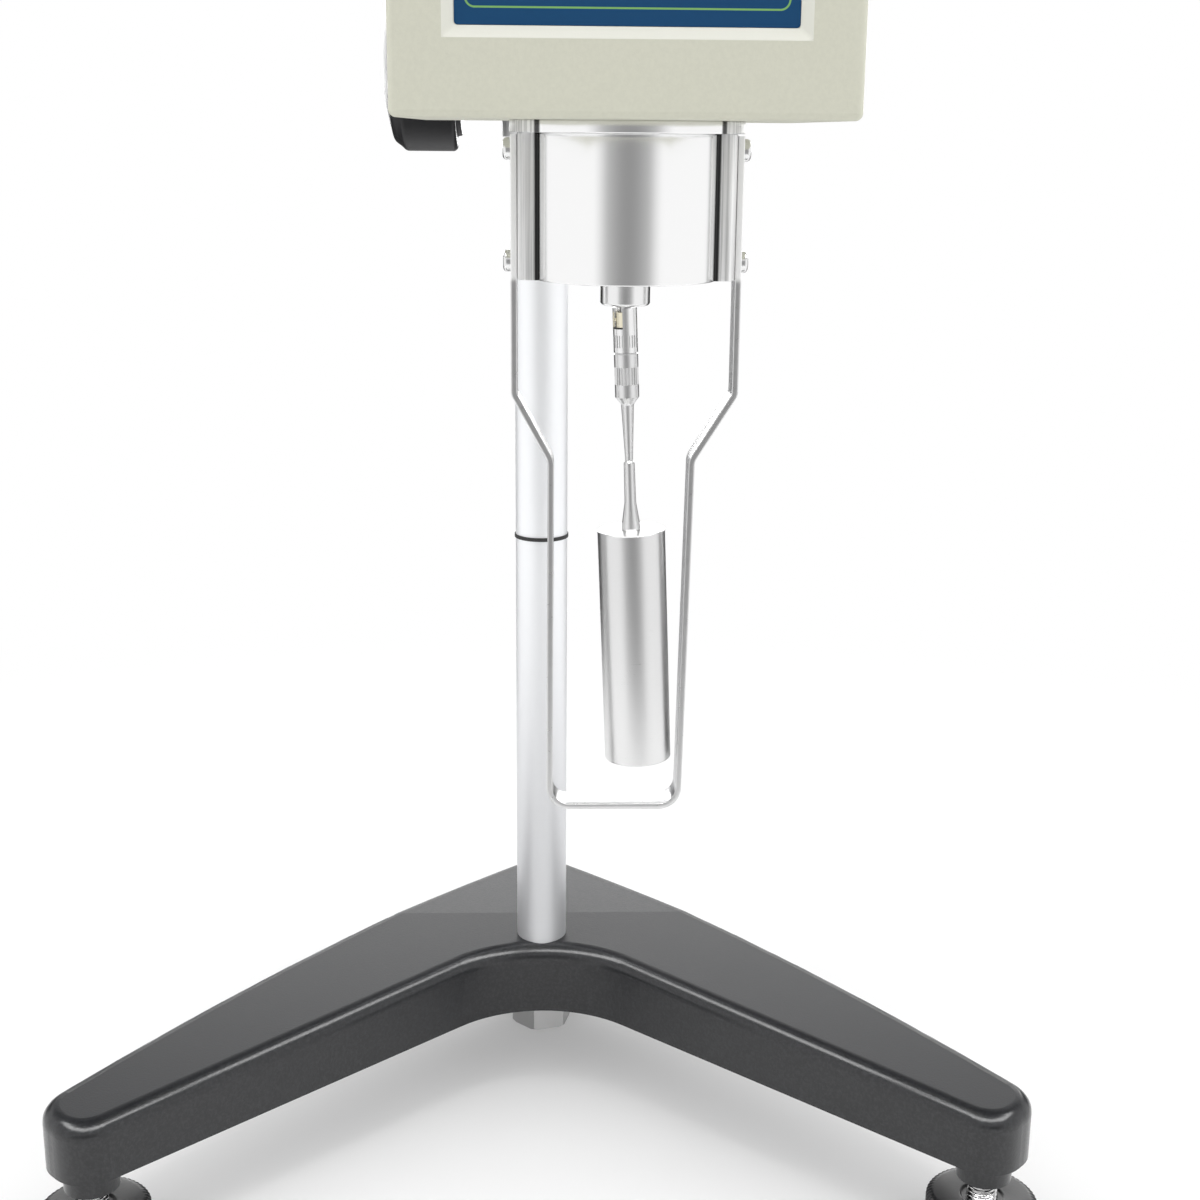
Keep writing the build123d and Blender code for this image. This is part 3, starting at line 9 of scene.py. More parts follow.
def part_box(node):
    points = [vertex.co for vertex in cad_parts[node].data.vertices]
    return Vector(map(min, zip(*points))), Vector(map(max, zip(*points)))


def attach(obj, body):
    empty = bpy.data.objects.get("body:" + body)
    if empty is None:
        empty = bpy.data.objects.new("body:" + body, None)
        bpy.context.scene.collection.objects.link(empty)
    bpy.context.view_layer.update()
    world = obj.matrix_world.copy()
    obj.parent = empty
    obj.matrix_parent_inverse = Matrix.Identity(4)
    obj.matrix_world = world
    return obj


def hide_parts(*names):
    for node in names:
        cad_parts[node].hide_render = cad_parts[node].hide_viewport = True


bl_info = {
    "name": "Rotational viscometer",
    "version": (1, 0, 0),
    "blender": (4, 5, 0),
    "location": "3D View > Sidebar > Viscometer",
    "description": "Dresses a rotational viscometer with its finishes, and sets the stage for it",
    "category": "Object",
}

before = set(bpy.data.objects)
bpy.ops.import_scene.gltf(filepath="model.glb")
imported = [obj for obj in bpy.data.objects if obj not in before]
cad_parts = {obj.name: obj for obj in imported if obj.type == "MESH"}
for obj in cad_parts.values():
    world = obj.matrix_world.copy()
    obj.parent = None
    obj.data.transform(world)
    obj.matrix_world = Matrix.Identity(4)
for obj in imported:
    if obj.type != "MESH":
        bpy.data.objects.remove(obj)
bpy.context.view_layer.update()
MM = 0.001


# ------------------------------------------------------------ places taken from the frame
def span(node):
    """The lowest corner, highest corner, middle and size of a node."""
    low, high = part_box(node)
    return low, high, (low + high) / 2, high - low


_, _, COLUMN_MID, COLUMN_SIZE = span("column")
FLANGE_LOW, _, FLANGE_MID, FLANGE_SIZE = span("collar_flange")
COLLAR_LOW_Z = span("collar")[0].z
_, _, PANEL_MID, PANEL_SIZE = span("keypad_plate")
_, LCD_HIGH, LCD_MID, LCD_SIZE = span("lcd_window")
HEAD_LOW = span("head_front_panel")[0]


# ------------------------------------------------------------ shader maths
class Term:
    """A shader value or vector that takes part in Python expressions."""

    def __init__(self, finish, socket):
        self.finish = finish
        self.socket = socket

    def maths(self, operation, *values):
        return self.finish.node("Math", {"operation": operation}, dict(enumerate(values)))

    def __add__(self, other):
        return self.maths("ADD", self, other)

    def __radd__(self, other):
        return self.maths("ADD", other, self)

    def __sub__(self, other):
        return self.maths("SUBTRACT", self, other)

    def __rsub__(self, other):
        return self.maths("SUBTRACT", other, self)

    def __mul__(self, other):
        return self.maths("MULTIPLY", self, other)

    def __rmul__(self, other):
        return self.maths("MULTIPLY", other, self)

    def __truediv__(self, other):
        return self.maths("DIVIDE", self, other)

    def __pow__(self, other):
        return self.maths("POWER", self, other)

    def __lt__(self, other):
        return self.maths("LESS_THAN", self, other)

    def __abs__(self):
        return self.maths("ABSOLUTE", self)

    def high(self, other):
        return self.maths("MAXIMUM", self, other)

    def smooth(self, start, end):
        """Rises from 0 to 1 between two values."""
        settings = {"interpolation_type": "SMOOTHSTEP"}
        return self.finish.node("MapRange", settings, {0: self, 1: start, 2: end, 3: 0.0, 4: 1.0})


class Finish:
    """One material or world, built node by node."""

    def __init__(self, name, world=False):
        holders = bpy.data.worlds if world else bpy.data.materials
        self.owner = holders.new(name)
        self.owner.use_nodes = True
        self.tree = self.owner.node_tree
        self.tree.nodes.clear()

    def node(self, kind, settings=None, sockets=None, out=0):
        """Adds a node, applies its settings, fills its sockets and gives one output as a term."""
        made = self.tree.nodes.new("ShaderNode" + kind)
        for key, value in (settings or {}).items():
            if key == "stops":
                self.fill_ramp(made.color_ramp, value)
            else:
                setattr(made, key, value)
        for key, value in (sockets or {}).items():
            if isinstance(value, Term):
                self.tree.links.new(value.socket, made.inputs[key])
            else:
                made.inputs[key].default_value = value
        return Term(self, made.outputs[out]) if made.outputs else None

    @staticmethod
    def fill_ramp(ramp, stops):
        for number, (place, colour) in enumerate(stops):
            stop = ramp.elements[number] if number < len(ramp.elements) else ramp.elements.new(place)
            stop.position = place
            stop.color = colour

    def place(self):
        """The place on the object in millimetres, as a vector."""
        spot = self.node("TexCoord", out=3)
        return self.node("VectorMath", {"operation": "SCALE"}, {0: spot, 3: 1000.0})

    def parts(self, vector):
        """A vector's X, Y and Z."""
        first = self.node("SeparateXYZ", sockets={0: vector})
        outputs = first.socket.node.outputs
        return [Term(self, outputs[number]) for number in range(3)]

    def noise(self, vector, scale, detail=3.0, rough=0.5):
        sockets = {"Vector": vector, "Scale": scale, "Detail": detail, "Roughness": rough}
        return self.node("TexNoise", sockets=sockets)

    def grain(self, stretch, scale, detail=4.0, rough=0.65):
        """Noise that is drawn out along each axis whose stretch is small."""
        place = self.node("VectorMath", {"operation": "MULTIPLY"}, {0: self.place(), 1: stretch})
        return self.noise(place, scale, detail, rough)

    def mix(self, factor, first, second):
        """A colour between two others."""
        return self.node("Mix", {"data_type": "RGBA"}, {0: factor, 6: first, 7: second}, out=2)

    def bump(self, height, strength, distance=0.001):
        sockets = {"Strength": strength, "Distance": distance, "Height": height}
        return self.node("Bump", sockets=sockets)

    def surface(self, **sockets):
        """Ends the material in a principled surface."""
        named = {key.replace("_", " "): value for key, value in sockets.items()}
        shader = self.node("BsdfPrincipled", sockets=named)
        self.node("OutputMaterial", sockets={"Surface": shader})
        return self.owner


def grey(level):
    """An opaque grey."""
    return (level, level, level, 1.0)


def solid(colour, share=1.0):
    """An opaque colour, made darker or lighter by a share."""
    return (*[channel * share for channel in colour[:3]], 1.0)


UPRIGHT_LINES = (1.0, 1.0, 0.012)
TURNED_RINGS = (0.02, 0.02, 1.0)


# ------------------------------------------------------------ finishes
def powder_coat(look):
    """Black powder coat with a fine, even grain."""
    finish = Finish("powder_coat")
    place = finish.place()
    grain = finish.noise(place, 1.6, 3.0, 0.6)
    fleck = finish.noise(place, 0.9, 5.0, 0.75).smooth(0.42, 0.66)
    colour = finish.mix(fleck, solid(look.base_colour), solid(look.base_colour, 1.9))
    _, _, level = finish.parts(finish.node("NewGeometry", out=1))
    rounded = 1.0 - level.smooth(0.9, 0.99)
    return finish.surface(
        Base_Color=colour, Roughness=0.46 + 0.08 * fleck - 0.1 * rounded, Specular_IOR_Level=0.3,
        Coat_Weight=rounded * (0.6 + 0.3 * fleck), Coat_Roughness=0.18,
        Normal=finish.bump(grain, 0.2, 0.0002),
    )


def drawn_metal(name, level, roughness, along, strength=0.25):
    """Metal with fine drawn lines along one axis, 0 to 2."""
    finish = Finish(name)
    stretch = [1.0, 1.0, 1.0]
    stretch[along] = 0.012
    line = finish.grain(stretch, 9.0)
    cloud = finish.noise(finish.place(), 0.03, 3.0)
    shade = finish.mix(line, grey(0.88 * level), grey(level))
    return finish.surface(
        Base_Color=shade, Metallic=1.0, Roughness=roughness + 0.12 * line + 0.06 * cloud,
        Normal=finish.bump(line, strength, 0.00005),
    )


def turned_metal(name, level, roughness, strength=0.2, pitch=14.0):
    """Metal with the fine rings that a lathe leaves about the upright axis."""
    finish = Finish(name)
    ring = finish.grain(TURNED_RINGS, pitch, rough=0.7)
    cloud = finish.noise(finish.place(), 0.06, 3.0)
    shade = finish.mix(ring, grey(level * 0.93), grey(level))
    return finish.surface(
        Base_Color=shade, Metallic=1.0, Roughness=roughness + 0.06 * ring + 0.04 * cloud,
        Normal=finish.bump(ring, strength, 0.00003),
    )


def collar_metal():
    """Turned metal, with an upright grain left on the two milled bars, and painted shade: a dark line where
    each bar meets the turned body.
    """
    finish = Finish("collar_metal")
    x, _, _ = finish.parts(finish.place())
    reach = abs(x - FLANGE_MID.x / MM)
    bar = reach.smooth(COLLAR_R - 0.2, COLLAR_R + 0.1)
    # root: painted shade, a narrow near-black band where each bar meets the turned body, standing in for the
    # dark reflection in that corner.
    root = 1.0 - abs(reach - (COLLAR_R - 0.55)).smooth(0.4, 1.0)
    ring = finish.grain(TURNED_RINGS, 14.0, rough=0.7)
    streak = finish.grain(UPRIGHT_LINES, 1.3, 3.0, 0.6).smooth(0.3, 0.7)
    turned_face = finish.mix(ring, grey(0.9), grey(0.97))
    milled_face = finish.mix(streak, grey(0.55), grey(0.95))
    unshaded = finish.mix(bar, turned_face, milled_face)
    return finish.surface(
        # The painted shade band is mixed in here as grey 0.07 over the turned and milled colour.
        Base_Color=finish.mix(root, unshaded, grey(0.07)), Metallic=1.0 - 0.5 * bar,
        Roughness=0.11 + 0.06 * ring + 0.3 * bar, Normal=finish.bump(ring, 0.1, 0.00003),
    )


def strip_steel():
    """Bright strip, paler where it is clamped on the milled bars."""
    finish = Finish("strip_steel")
    place = finish.place()
    _, _, z = finish.parts(place)
    clamped = z.smooth(COLLAR_LOW_Z / MM - 1.0, COLLAR_LOW_Z / MM + 1.0)
    cloud = finish.noise(place, 0.5, 4.0, 0.6)
    worn = finish.mix(cloud, grey(0.68), grey(0.74))
    return finish.surface(
        Base_Color=finish.mix(clamped, worn, grey(0.93)), Metallic=1.0 - 0.65 * clamped,
        Roughness=0.24 + 0.1 * cloud + 0.2 * clamped,
        Normal=finish.bump(finish.noise(place, 2.5), 0.03, 0.0002),
    )


def column_satin():
    """Satin metal with upright drawn lines, and painted shade that darkens it toward the base."""
    finish = Finish("column_satin")
    _, _, z = finish.parts(finish.place())
    line = finish.grain(UPRIGHT_LINES, 9.0)
    # Painted shade: the colour runs from a darker grey at 60 mm up to the full bright grey at 215 mm.
    unshaded = z.smooth(60.0, 215.0)
    bright = finish.mix(line, (0.93, 0.94, 0.955, 1.0), (0.95, 0.96, 0.98, 1.0))
    painted_shade_tone = finish.mix(line, (0.67, 0.675, 0.69, 1.0), (0.70, 0.705, 0.72, 1.0))
    return finish.surface(
        Base_Color=finish.mix(unshaded, painted_shade_tone, bright), Metallic=0.7, Roughness=0.42 + 0.1 * line,
        Normal=finish.bump(line, 0.02, 0.00005),
    )


def plated_metal(name, colour, roughness):
    """Bright plating with faint handling marks."""
    finish = Finish(name)
    cloud = finish.noise(finish.place(), 0.5, 4.0, 0.6)
    shade = finish.mix(cloud, solid(colour, 0.94), solid(colour))
    return finish.surface(
        Base_Color=shade, Metallic=1.0, Roughness=roughness + 0.1 * cloud,
        Normal=finish.bump(finish.noise(finish.place(), 2.5), 0.03, 0.0002),
    )


def moulded_skin(finish, colour, grain=2.2):
    """The fine grain of a moulded face, and its colour with a slight unevenness of tone."""
    place = finish.place()
    speck = finish.noise(place, grain, 3.0, 0.6)
    tone = finish.noise(place, 0.9, 4.0, 0.7).smooth(0.3, 0.7)
    return speck, finish.mix(tone, solid(colour, 0.955), solid(colour))


def moulded_plastic(name, colour, roughness, grain=2.2, strength=0.1, sheen=0.5):
    """Moulded plastic in one colour."""
    finish = Finish(name)
    speck, shade = moulded_skin(finish, colour, grain)
    return finish.surface(
        Base_Color=shade, Roughness=roughness + 0.08 * speck, Specular_IOR_Level=sheen,
        Normal=finish.bump(speck, strength, 0.0002),
    )


WELL_EDGE = 2.9
WELL_DEPTH = 3.5


def front_moulding(look):
    """The housing plastic, with a painted highlight: paler on the bevel and the floor of the panel's well,
    where more light falls.
    """
    finish = Finish("front_moulding")
    x, y, z = finish.parts(finish.place())
    across = abs(x - PANEL_MID.x / MM) - (PANEL_SIZE.x / 2 / MM + WELL_EDGE)
    along = abs(z - PANEL_MID.z / MM) - (PANEL_SIZE.z / 2 / MM + WELL_EDGE)
    # Painted highlight: a mask for the bevel round the keypad and the floor of its well, which get the paler
    # colour.
    painted_light_well = (across.high(along) < 0.0) * (y < HEAD_LOW.y / MM + WELL_DEPTH)
    speck, plain = moulded_skin(finish, look.housing_colour)
    colour = finish.mix(painted_light_well, plain, solid(look.painted_light_bevel_colour))
    return finish.surface(
        Base_Color=colour, Roughness=0.46 + 0.08 * speck, Specular_IOR_Level=0.4,
        Normal=finish.bump(speck, 0.1, 0.0002),
    )


def rounded_box(x, z, middle, half_w, half_h, radius):
    """The distance outside a rounded rectangle, below zero inside it."""
    away_x = (abs(x - middle.x / MM) - (half_w - radius)).high(0.0)
    away_z = (abs(z - middle.z / MM) - (half_h - radius)).high(0.0)
    return (away_x * away_x + away_z * away_z) ** 0.5 - radius


def panel_film(look):
    """The printed film: a blue field inside a thin rounded line, and a dark frame round the window."""
    finish = Finish("panel_film")
    place = finish.place()
    x, _, z = finish.parts(place)
    half_w, half_h = PANEL_SIZE.x / 2 / MM, PANEL_SIZE.z / 2 / MM
    edge = rounded_box(x, z, PANEL_MID, half_w - look.line_side / MM, half_h - look.line_end / MM, 2.2)
    line = 1.0 - (abs(edge) - look.line_width / MM / 2).smooth(-0.06, 0.08)
    frame_w, frame_h = LCD_SIZE.x / 2 / MM + 2, LCD_SIZE.z / 2 / MM + 2
    border = 1.0 - rounded_box(x, z, LCD_MID, frame_w, frame_h, 3.0).smooth(-0.05, 0.08)
    fleck = finish.noise(place, 0.8, 4.0, 0.6)
    blue = finish.mix(fleck, solid(look.panel_colour), solid(look.panel_colour, 1.14))
    colour = finish.mix(line, blue, solid(look.line_colour))
    colour = finish.mix(border, colour, (0.004, 0.02, 0.05, 1.0))
    weave = finish.noise(place, 3.0, 2.0)
    return finish.surface(
        Base_Color=colour, Roughness=0.42 + 0.1 * fleck, Specular_IOR_Level=0.2,
        Normal=finish.bump(weave, 0.06, 0.0002),
    )


def clear_glass(name, tint, roughness=0.03):
    """Clear glass or acrylic with a faint tint."""
    finish = Finish(name)
    smear = finish.noise(finish.place(), 0.15, 4.0, 0.6)
    return finish.surface(
        Base_Color=solid(tint), Roughness=roughness + 0.05 * smear, Transmission_Weight=0.92, IOR=1.49,
    )


def circuit_board():
    """Green solder mask with tracks and small bright pads."""
    finish = Finish("circuit_board")
    place = finish.place()
    cell = finish.node("TexVoronoi", {"feature": "DISTANCE_TO_EDGE"}, {"Vector": place, "Scale": 0.35})
    track = 1.0 - cell.smooth(0.03, 0.08)
    pad = 1.0 - finish.node("TexVoronoi", sockets={"Vector": place, "Scale": 0.5}).smooth(0.12, 0.16)
    colour = finish.mix(track, (0.01, 0.13, 0.05, 1.0), (0.02, 0.26, 0.1, 1.0))
    colour = finish.mix(pad, colour, (0.75, 0.72, 0.65, 1.0))
    return finish.surface(Base_Color=colour, Metallic=0.8 * pad, Roughness=0.35)


def glossy_black(name, colour, roughness):
    """Deep black thermoset with a polished skin and faint rubbing marks."""
    finish = Finish(name)
    rub = finish.noise(finish.place(), 0.4, 5.0, 0.65)
    shade = finish.mix(rub, solid(colour), solid(colour, 1.6))
    return finish.surface(
        Base_Color=shade, Roughness=roughness + 0.1 * rub, Specular_IOR_Level=0.18,
        Normal=finish.bump(finish.noise(finish.place(), 0.5), 0.04, 0.0004),
    )


def matt_rubber(name, level):
    """Black rubber with a dusty bloom."""
    finish = Finish(name)
    bloom = finish.noise(finish.place(), 0.3, 4.0, 0.6)
    colour = finish.mix(bloom, grey(level), grey(level * 1.8))
    return finish.surface(
        Base_Color=colour, Roughness=0.6 + 0.2 * bloom, Normal=finish.bump(bloom, 0.1, 0.0003)
    )


# ------------------------------------------------------------ sizes and colours a user would change
class ViscometerLook(bpy.types.PropertyGroup):
    """Colours, line widths and fine shapes of the instrument."""

    base_colour: FloatVectorProperty(
        name="Base", description="Powder coat of the base", subtype="COLOR", size=3,
        default=(0.007, 0.0075, 0.009),
    )
    housing_colour: FloatVectorProperty(
        name="Housing", description="Plastic of the head", subtype="COLOR", size=3, default=(0.61, 0.61, 0.51)
    )
    # Colour of the keypad's bevel, painted paler than the housing as a painted highlight.
    painted_light_bevel_colour: FloatVectorProperty(
        name="Bevel", description="Plastic round the keypad", subtype="COLOR", size=3,
        default=(0.70, 0.70, 0.63),
    )
    panel_colour: FloatVectorProperty(
        name="Panel", description="Field of the keypad film", subtype="COLOR", size=3,
        default=(0.00504, 0.0518, 0.137),
    )
    line_colour: FloatVectorProperty(
        name="Line", description="Outline on the keypad film", subtype="COLOR", size=3,
        default=(0.20, 0.42, 0.12),
    )
    line_width: FloatProperty(
        name="Line width", description="Width of the keypad's outline", subtype="DISTANCE", default=0.40 * MM
    )
    line_side: FloatProperty(
        name="Line side", description="From the film's side to its outline", subtype="DISTANCE",
        default=2.5 * MM,
    )
    line_end: FloatProperty(
        name="Line end", description="From the film's lower edge to its outline", subtype="DISTANCE",
        default=3.9 * MM,
    )
    edge: FloatProperty(
        name="Edge", description="Rounding of the turned edges", subtype="DISTANCE", default=0.4 * MM,
        min=0.05 * MM,
    )
    foot_grips: IntProperty(
        name="Foot grips", description="Scallops round each foot disc", default=60, min=12
    )
    foot_grip_depth: FloatProperty(
        name="Grip depth", description="Depth of the scallops", subtype="DISTANCE", default=0.55 * MM
    )
    thread_pitch: FloatProperty(
        name="Thread pitch", description="Pitch of the foot studs", subtype="DISTANCE", default=1.5 * MM
    )
    knurl_teeth: IntProperty(name="Knurl", description="Teeth of the coupling knurls", default=30, min=12)


class StageSetting(bpy.types.PropertyGroup):
    """Camera, lamps and floor."""

    eye_height: FloatProperty(
        name="Eye height", description="Height of the camera", subtype="DISTANCE", default=0.342
    )
    eye_distance: FloatProperty(
        name="Eye distance", description="From the camera to the column", subtype="DISTANCE", default=0.598
    )
    pitch: FloatProperty(
        name="Pitch", description="How far the camera looks down", subtype="ANGLE",
        default=math.radians(15.0),
    )
    yaw: FloatProperty(
        name="Yaw", description="How far the camera looks to the right", subtype="ANGLE",
        default=math.radians(1.98),
    )
    roll: FloatProperty(
        name="Roll", description="Tilt of the camera about its own axis", subtype="ANGLE",
        default=math.radians(0.5),
    )
    lens: FloatProperty(name="Lens", description="Focal length", subtype="DISTANCE_CAMERA", default=52.5)
    room_light: FloatProperty(
        name="Room light", description="Plain light from all sides", default=0.86, min=0
    )
    floor_white: FloatProperty(name="Floor", description="How white the floor is", default=0.92, min=0, max=1)


# ------------------------------------------------------------ mesh helpers
def link_mesh(name, bm, material, angle=32.0):
    """Turns a bmesh into an object with smooth faces and crisp edges."""
    mesh = bpy.data.meshes.new(name)
    bmesh.ops.recalc_face_normals(bm, faces=bm.faces)
    bm.to_mesh(mesh)
    bm.free()
    smooth(mesh, angle)
    mesh.materials.append(material)
    piece = bpy.data.objects.new(name, mesh)
    bpy.context.scene.collection.objects.link(piece)
    return piece


def smooth(mesh, angle):
    """Shades a mesh smooth, but for edges sharper than the angle."""
    mesh.polygons.foreach_set("use_smooth", [True] * len(mesh.polygons))
    mesh.set_sharp_from_angle(angle=math.radians(angle))


def settle(piece, body, slot, *nodes):
    """Makes a piece ride and stand for its nodes. The slot is not used."""
    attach(piece, body)
    if nodes:
        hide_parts(*nodes)
    return piece


def softened(points, radius, closed=False, steps=4):
    """A half outline whose corners are rounded by the radius, where there is room."""
    points = [Vector(point) for point in points]
    if closed:
        trios = [(points[i - 1], points[i], points[(i + 1) % len(points)]) for i in range(len(points))]
        out = []
    else:
        trios = list(zip(points, points[1:], points[2:]))
        out = [points[0]]
    for before, corner, after in trios:
        into, away = (before - corner), (after - corner)
        reach = min(radius, into.length * 0.45, away.length * 0.45)
        start, end = corner + into.normalized() * reach, corner + away.normalized() * reach
        for step in range(steps + 1):
            t = step / steps
            out.append(start.lerp(corner, t).lerp(corner.lerp(end, t), t))
    if not closed:
        out.append(points[-1])
    return out


def even(steps):
    """Angles spread evenly round a turn."""
    return [2 * math.pi * step / steps for step in range(steps)]


def lathe(bm, outline, closed=False, wave=None, angles=None):
    """Turns a (radius, height) outline about Z. The wave gives a radius by its height and angle."""
    angles = angles or even(128)
    rings = []
    for radius, height in outline:
        if radius < 1e-7:
            rings.append([bm.verts.new((0, 0, height))])
            continue
        reach = [radius if wave is None else wave(radius, height, angle) for angle in angles]
        rings.append([
            bm.verts.new((r * math.cos(angle), r * math.sin(angle), height))
            for r, angle in zip(reach, angles)
        ])
    pairs = list(zip(rings, rings[1:])) + ([(rings[-1], rings[0])] if closed else [])
    for lower, upper in pairs:
        for step in range(len(angles)):
            following = (step + 1) % len(angles)
            corners = [lower[step % len(lower)], lower[following % len(lower)],
                       upper[following % len(upper)], upper[step % len(upper)]]
            unique = list(dict.fromkeys(corners))
            if len(unique) > 2:
                bm.faces.new(unique)
    return bm


def place_mesh(bm, matrix):
    """Moves a whole mesh by a matrix."""
    bmesh.ops.transform(bm, matrix=matrix, verts=bm.verts)
    return bm


def turned(name, outline, material, place, edge=0.4 * MM, closed=False, wave=None, angles=None):
    """A turned piece from a half outline in millimetres, put in place by a matrix."""
    outline = [(radius * MM, height * MM) for radius, height in outline]
    bm = lathe(bmesh.new(), softened(outline, edge, closed), closed, wave, angles)
    return link_mesh(name, place_mesh(bm, place), material)


def bent_path(corners, steps=14):
    """An open path of (point, normal) through corners of (x, z, radius), with tangent arcs."""
    points = [Vector(corner[:2]) for corner in corners]
    path = [points[0]]
    for before, corner, after, (_, _, radius) in zip(points, points[1:], points[2:], corners[1:]):
        into, away = (before - corner).normalized(), (after - corner).normalized()
        half = into.angle(away) / 2
        centre = corner + (into + away).normalized() * radius / math.sin(half)
        start = corner + into * radius / math.tan(half)
        end = corner + away * radius / math.tan(half)
        for step in range(steps + 1):
            chord = start.lerp(end, step / steps) - centre
            path.append(centre + chord.normalized() * radius)
    path.append(points[-1])
    return path


def strip(path, thickness, width, edge):
    """A flat strip that follows a path in XZ with its outer face, with rounded edges."""
    bm = bmesh.new()
    half = width / 2
    corners = [(0.0, -half), (0.0, half), (-thickness, half), (-thickness, -half)]
    section = softened(corners, edge, True, 3)
    rings = []
    for number, point in enumerate(path):
        before = path[max(number - 1, 0)]
        after = path[min(number + 1, len(path) - 1)]
        along = (after - before).normalized()
        outward = Vector((-along.y, along.x))
        ring = []
        for depth, side in section:
            spot = point + outward * depth
            ring.append(bm.verts.new((spot.x, side, spot.y)))
        rings.append(ring)
    for lower, upper in zip(rings, rings[1:]):
        for step in range(len(section)):
            following = (step + 1) % len(section)
            bm.faces.new([lower[step], lower[following], upper[following], upper[step]])
    bm.faces.new(rings[0])
    bm.faces.new(rings[-1])
    return bm


def tile(bm, outline, front, depth):
    """A thin flat shape of (x, z) points that faces the front."""
    near = [bm.verts.new((x, front, z)) for x, z in outline]
    far = [bm.verts.new((x, front + depth, z)) for x, z in outline]
    bm.faces.new(near)
    bm.faces.new(far[::-1])
    for step in range(len(outline)):
        following = (step + 1) % len(outline)
        bm.faces.new([near[step], far[step], far[following], near[following]])
    return bm


def upright(x=0.0, y=0.0, z=0.0):
    """A move without a turn."""
    return Matrix.Translation((x, y, z))


# ------------------------------------------------------------ operators
class DressOperator:
    """What the dressing operators share."""

    bl_options = {"REGISTER", "UNDO"}

    @property
    def look(self):
        return bpy.context.scene.viscometer_look


def paint(material, *nodes, angle=30.0):
    """Gives CAD nodes one material and smooth shading."""
    for name in nodes:
        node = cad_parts[name]
        node.data.materials.clear()
        node.data.materials.append(material)
        smooth(node.data, angle)


FEET = ("left", "right", "rear")
PLAIN_END = 8.0


def foot_disc(foot, look, material):
    """A finger disc whose rim is cut into fine scallops."""
    low, _, middle, size = span("foot_disc_" + foot)
    _, _, _, stud = span("foot_stud_" + foot)
    radius, bore, height = size.x / 2 / MM, stud.x / 2 / MM + 0.05, size.z / MM
    count, depth = look.foot_grips, look.foot_grip_depth

    def scallop(reach, _, angle):
        """Rounded grips with a sharp valley between, fading towards the disc's middle."""
        share = max(0.0, min(1.0, (reach / MM - radius + 2.6) / 2.0))
        return reach - depth * share * (1 - abs(math.sin(count * angle / 2)))

    outline = [
        (bore, 0), (radius - 2.2, 0), (radius - 1.0, 0.35), (radius, 1.3), (radius, height - 1.3),
        (radius - 1.0, height - 0.35), (radius - 2.2, height), (bore + 2.2, height),
        (bore + 1.6, height - 0.5), (bore, height - 0.5),
    ]
    place = upright(middle.x, middle.y, low.z)
    piece = turned("foot_grip_" + foot, outline, material, place, 0.5 * MM, True, scallop, even(count * 8))
    return settle(piece, "foot_screw_" + foot, "black_plastic", "foot_disc_" + foot)


def foot_stud(foot, look, material):
    """A plated stud with a helical thread and a plain, chamfered lower end."""
    low, _, middle, size = span("foot_stud_" + foot)
    radius, length = size.x / 2 / MM, size.z / MM
    pitch = look.thread_pitch
    root = 0.55 * pitch

    def thread(reach, height, angle):
        """A rounded thread profile above the plain end."""
        turn = (height / pitch - angle / (2 * math.pi)) % 1.0
        if reach <= radius * MM * 0.9:
            return reach
        above = max(0.0, min(1.0, (height / MM - PLAIN_END) / 1.5))
        below = max(0.0, min(1.0, length - height / MM))
        return reach - root * above * below * (0.5 + 0.5 * math.cos(2 * math.pi * turn))

    rows = int((length - 1.2) * MM / pitch * 8)
    outline = [(0, 0), (radius - 0.6, 0), (radius, 0.6)]
    outline += [(radius, 0.7 + (length - 1.4) * row / rows) for row in range(rows + 1)]
    outline += [(radius, length - 0.6), (radius - 0.6, length), (0, length)]
    bm = lathe(bmesh.new(), [(r * MM, h * MM) for r, h in outline], False, thread, even(40))
    piece = link_mesh("foot_thread_" + foot, place_mesh(bm, upright(middle.x, middle.y, low.z)), material, 50)
    return settle(piece, "foot_screw_" + foot, "plated_metal", "foot_stud_" + foot)


class VISCOMETER_OT_base(DressOperator, bpy.types.Operator):
    """Finish the base, the levelling feet and the nut"""

    bl_idname = "viscometer.base"
    bl_label = "Base and feet"

    def execute(self, context):
        paint(powder_coat(self.look), "base_casting", angle=40.0)
        grip = moulded_plastic("grip_plastic", (0.014, 0.014, 0.015), 0.34, 1.5, 0.1)
        plating = plated_metal("stud_plating", (0.80, 0.80, 0.80), 0.12)
        for foot in FEET:
            foot_disc(foot, self.look, grip)
            foot_stud(foot, self.look, plating)
        paint(matt_rubber("tip_rubber", 0.02), *["foot_tip_" + foot for foot in FEET])
        paint(turned_metal("nut_steel", 0.50, 0.3), "column_nut")
        return {"FINISHED"}


class VISCOMETER_OT_column(DressOperator, bpy.types.Operator):
    """Finish the column, its rack and its trim"""

    bl_idname = "viscometer.column"
    bl_label = "Column and rack"

    def execute(self, context):
        paint(column_satin(), "column")
        paint(drawn_metal("rack_steel", 0.55, 0.3, 0), "column_rack")
        paint(moulded_plastic("cap_plastic", (0.02, 0.02, 0.022), 0.4), "column_cap")
        low, _, middle, size = span("column_ring")
        column = COLUMN_SIZE.x / 2 / MM
        outline = [(column + 0.01, 0), (size.x / 2 / MM, 0), (size.x / 2 / MM, size.z / MM),
                   (column + 0.01, size.z / MM)]
        place = upright(middle.x, middle.y, low.z)
        piece = turned("stop_ring", outline, matt_rubber("ring_rubber", 0.02), place, 0.3 * MM, True)
        settle(piece, "stand", "rubber_black", "column_ring")
        return {"FINISHED"}


KNOB_STEPS = (
    # radius and distance from the knob's inner end of each step of its outline
    (25.0, 0.1), (25.0, 1.6), (29.0, 1.6), (30.0, 2.6), (30.0, 18.9), (28.6, 20.3), (26.9, 22.7),
    (17.0, 25.1),
)


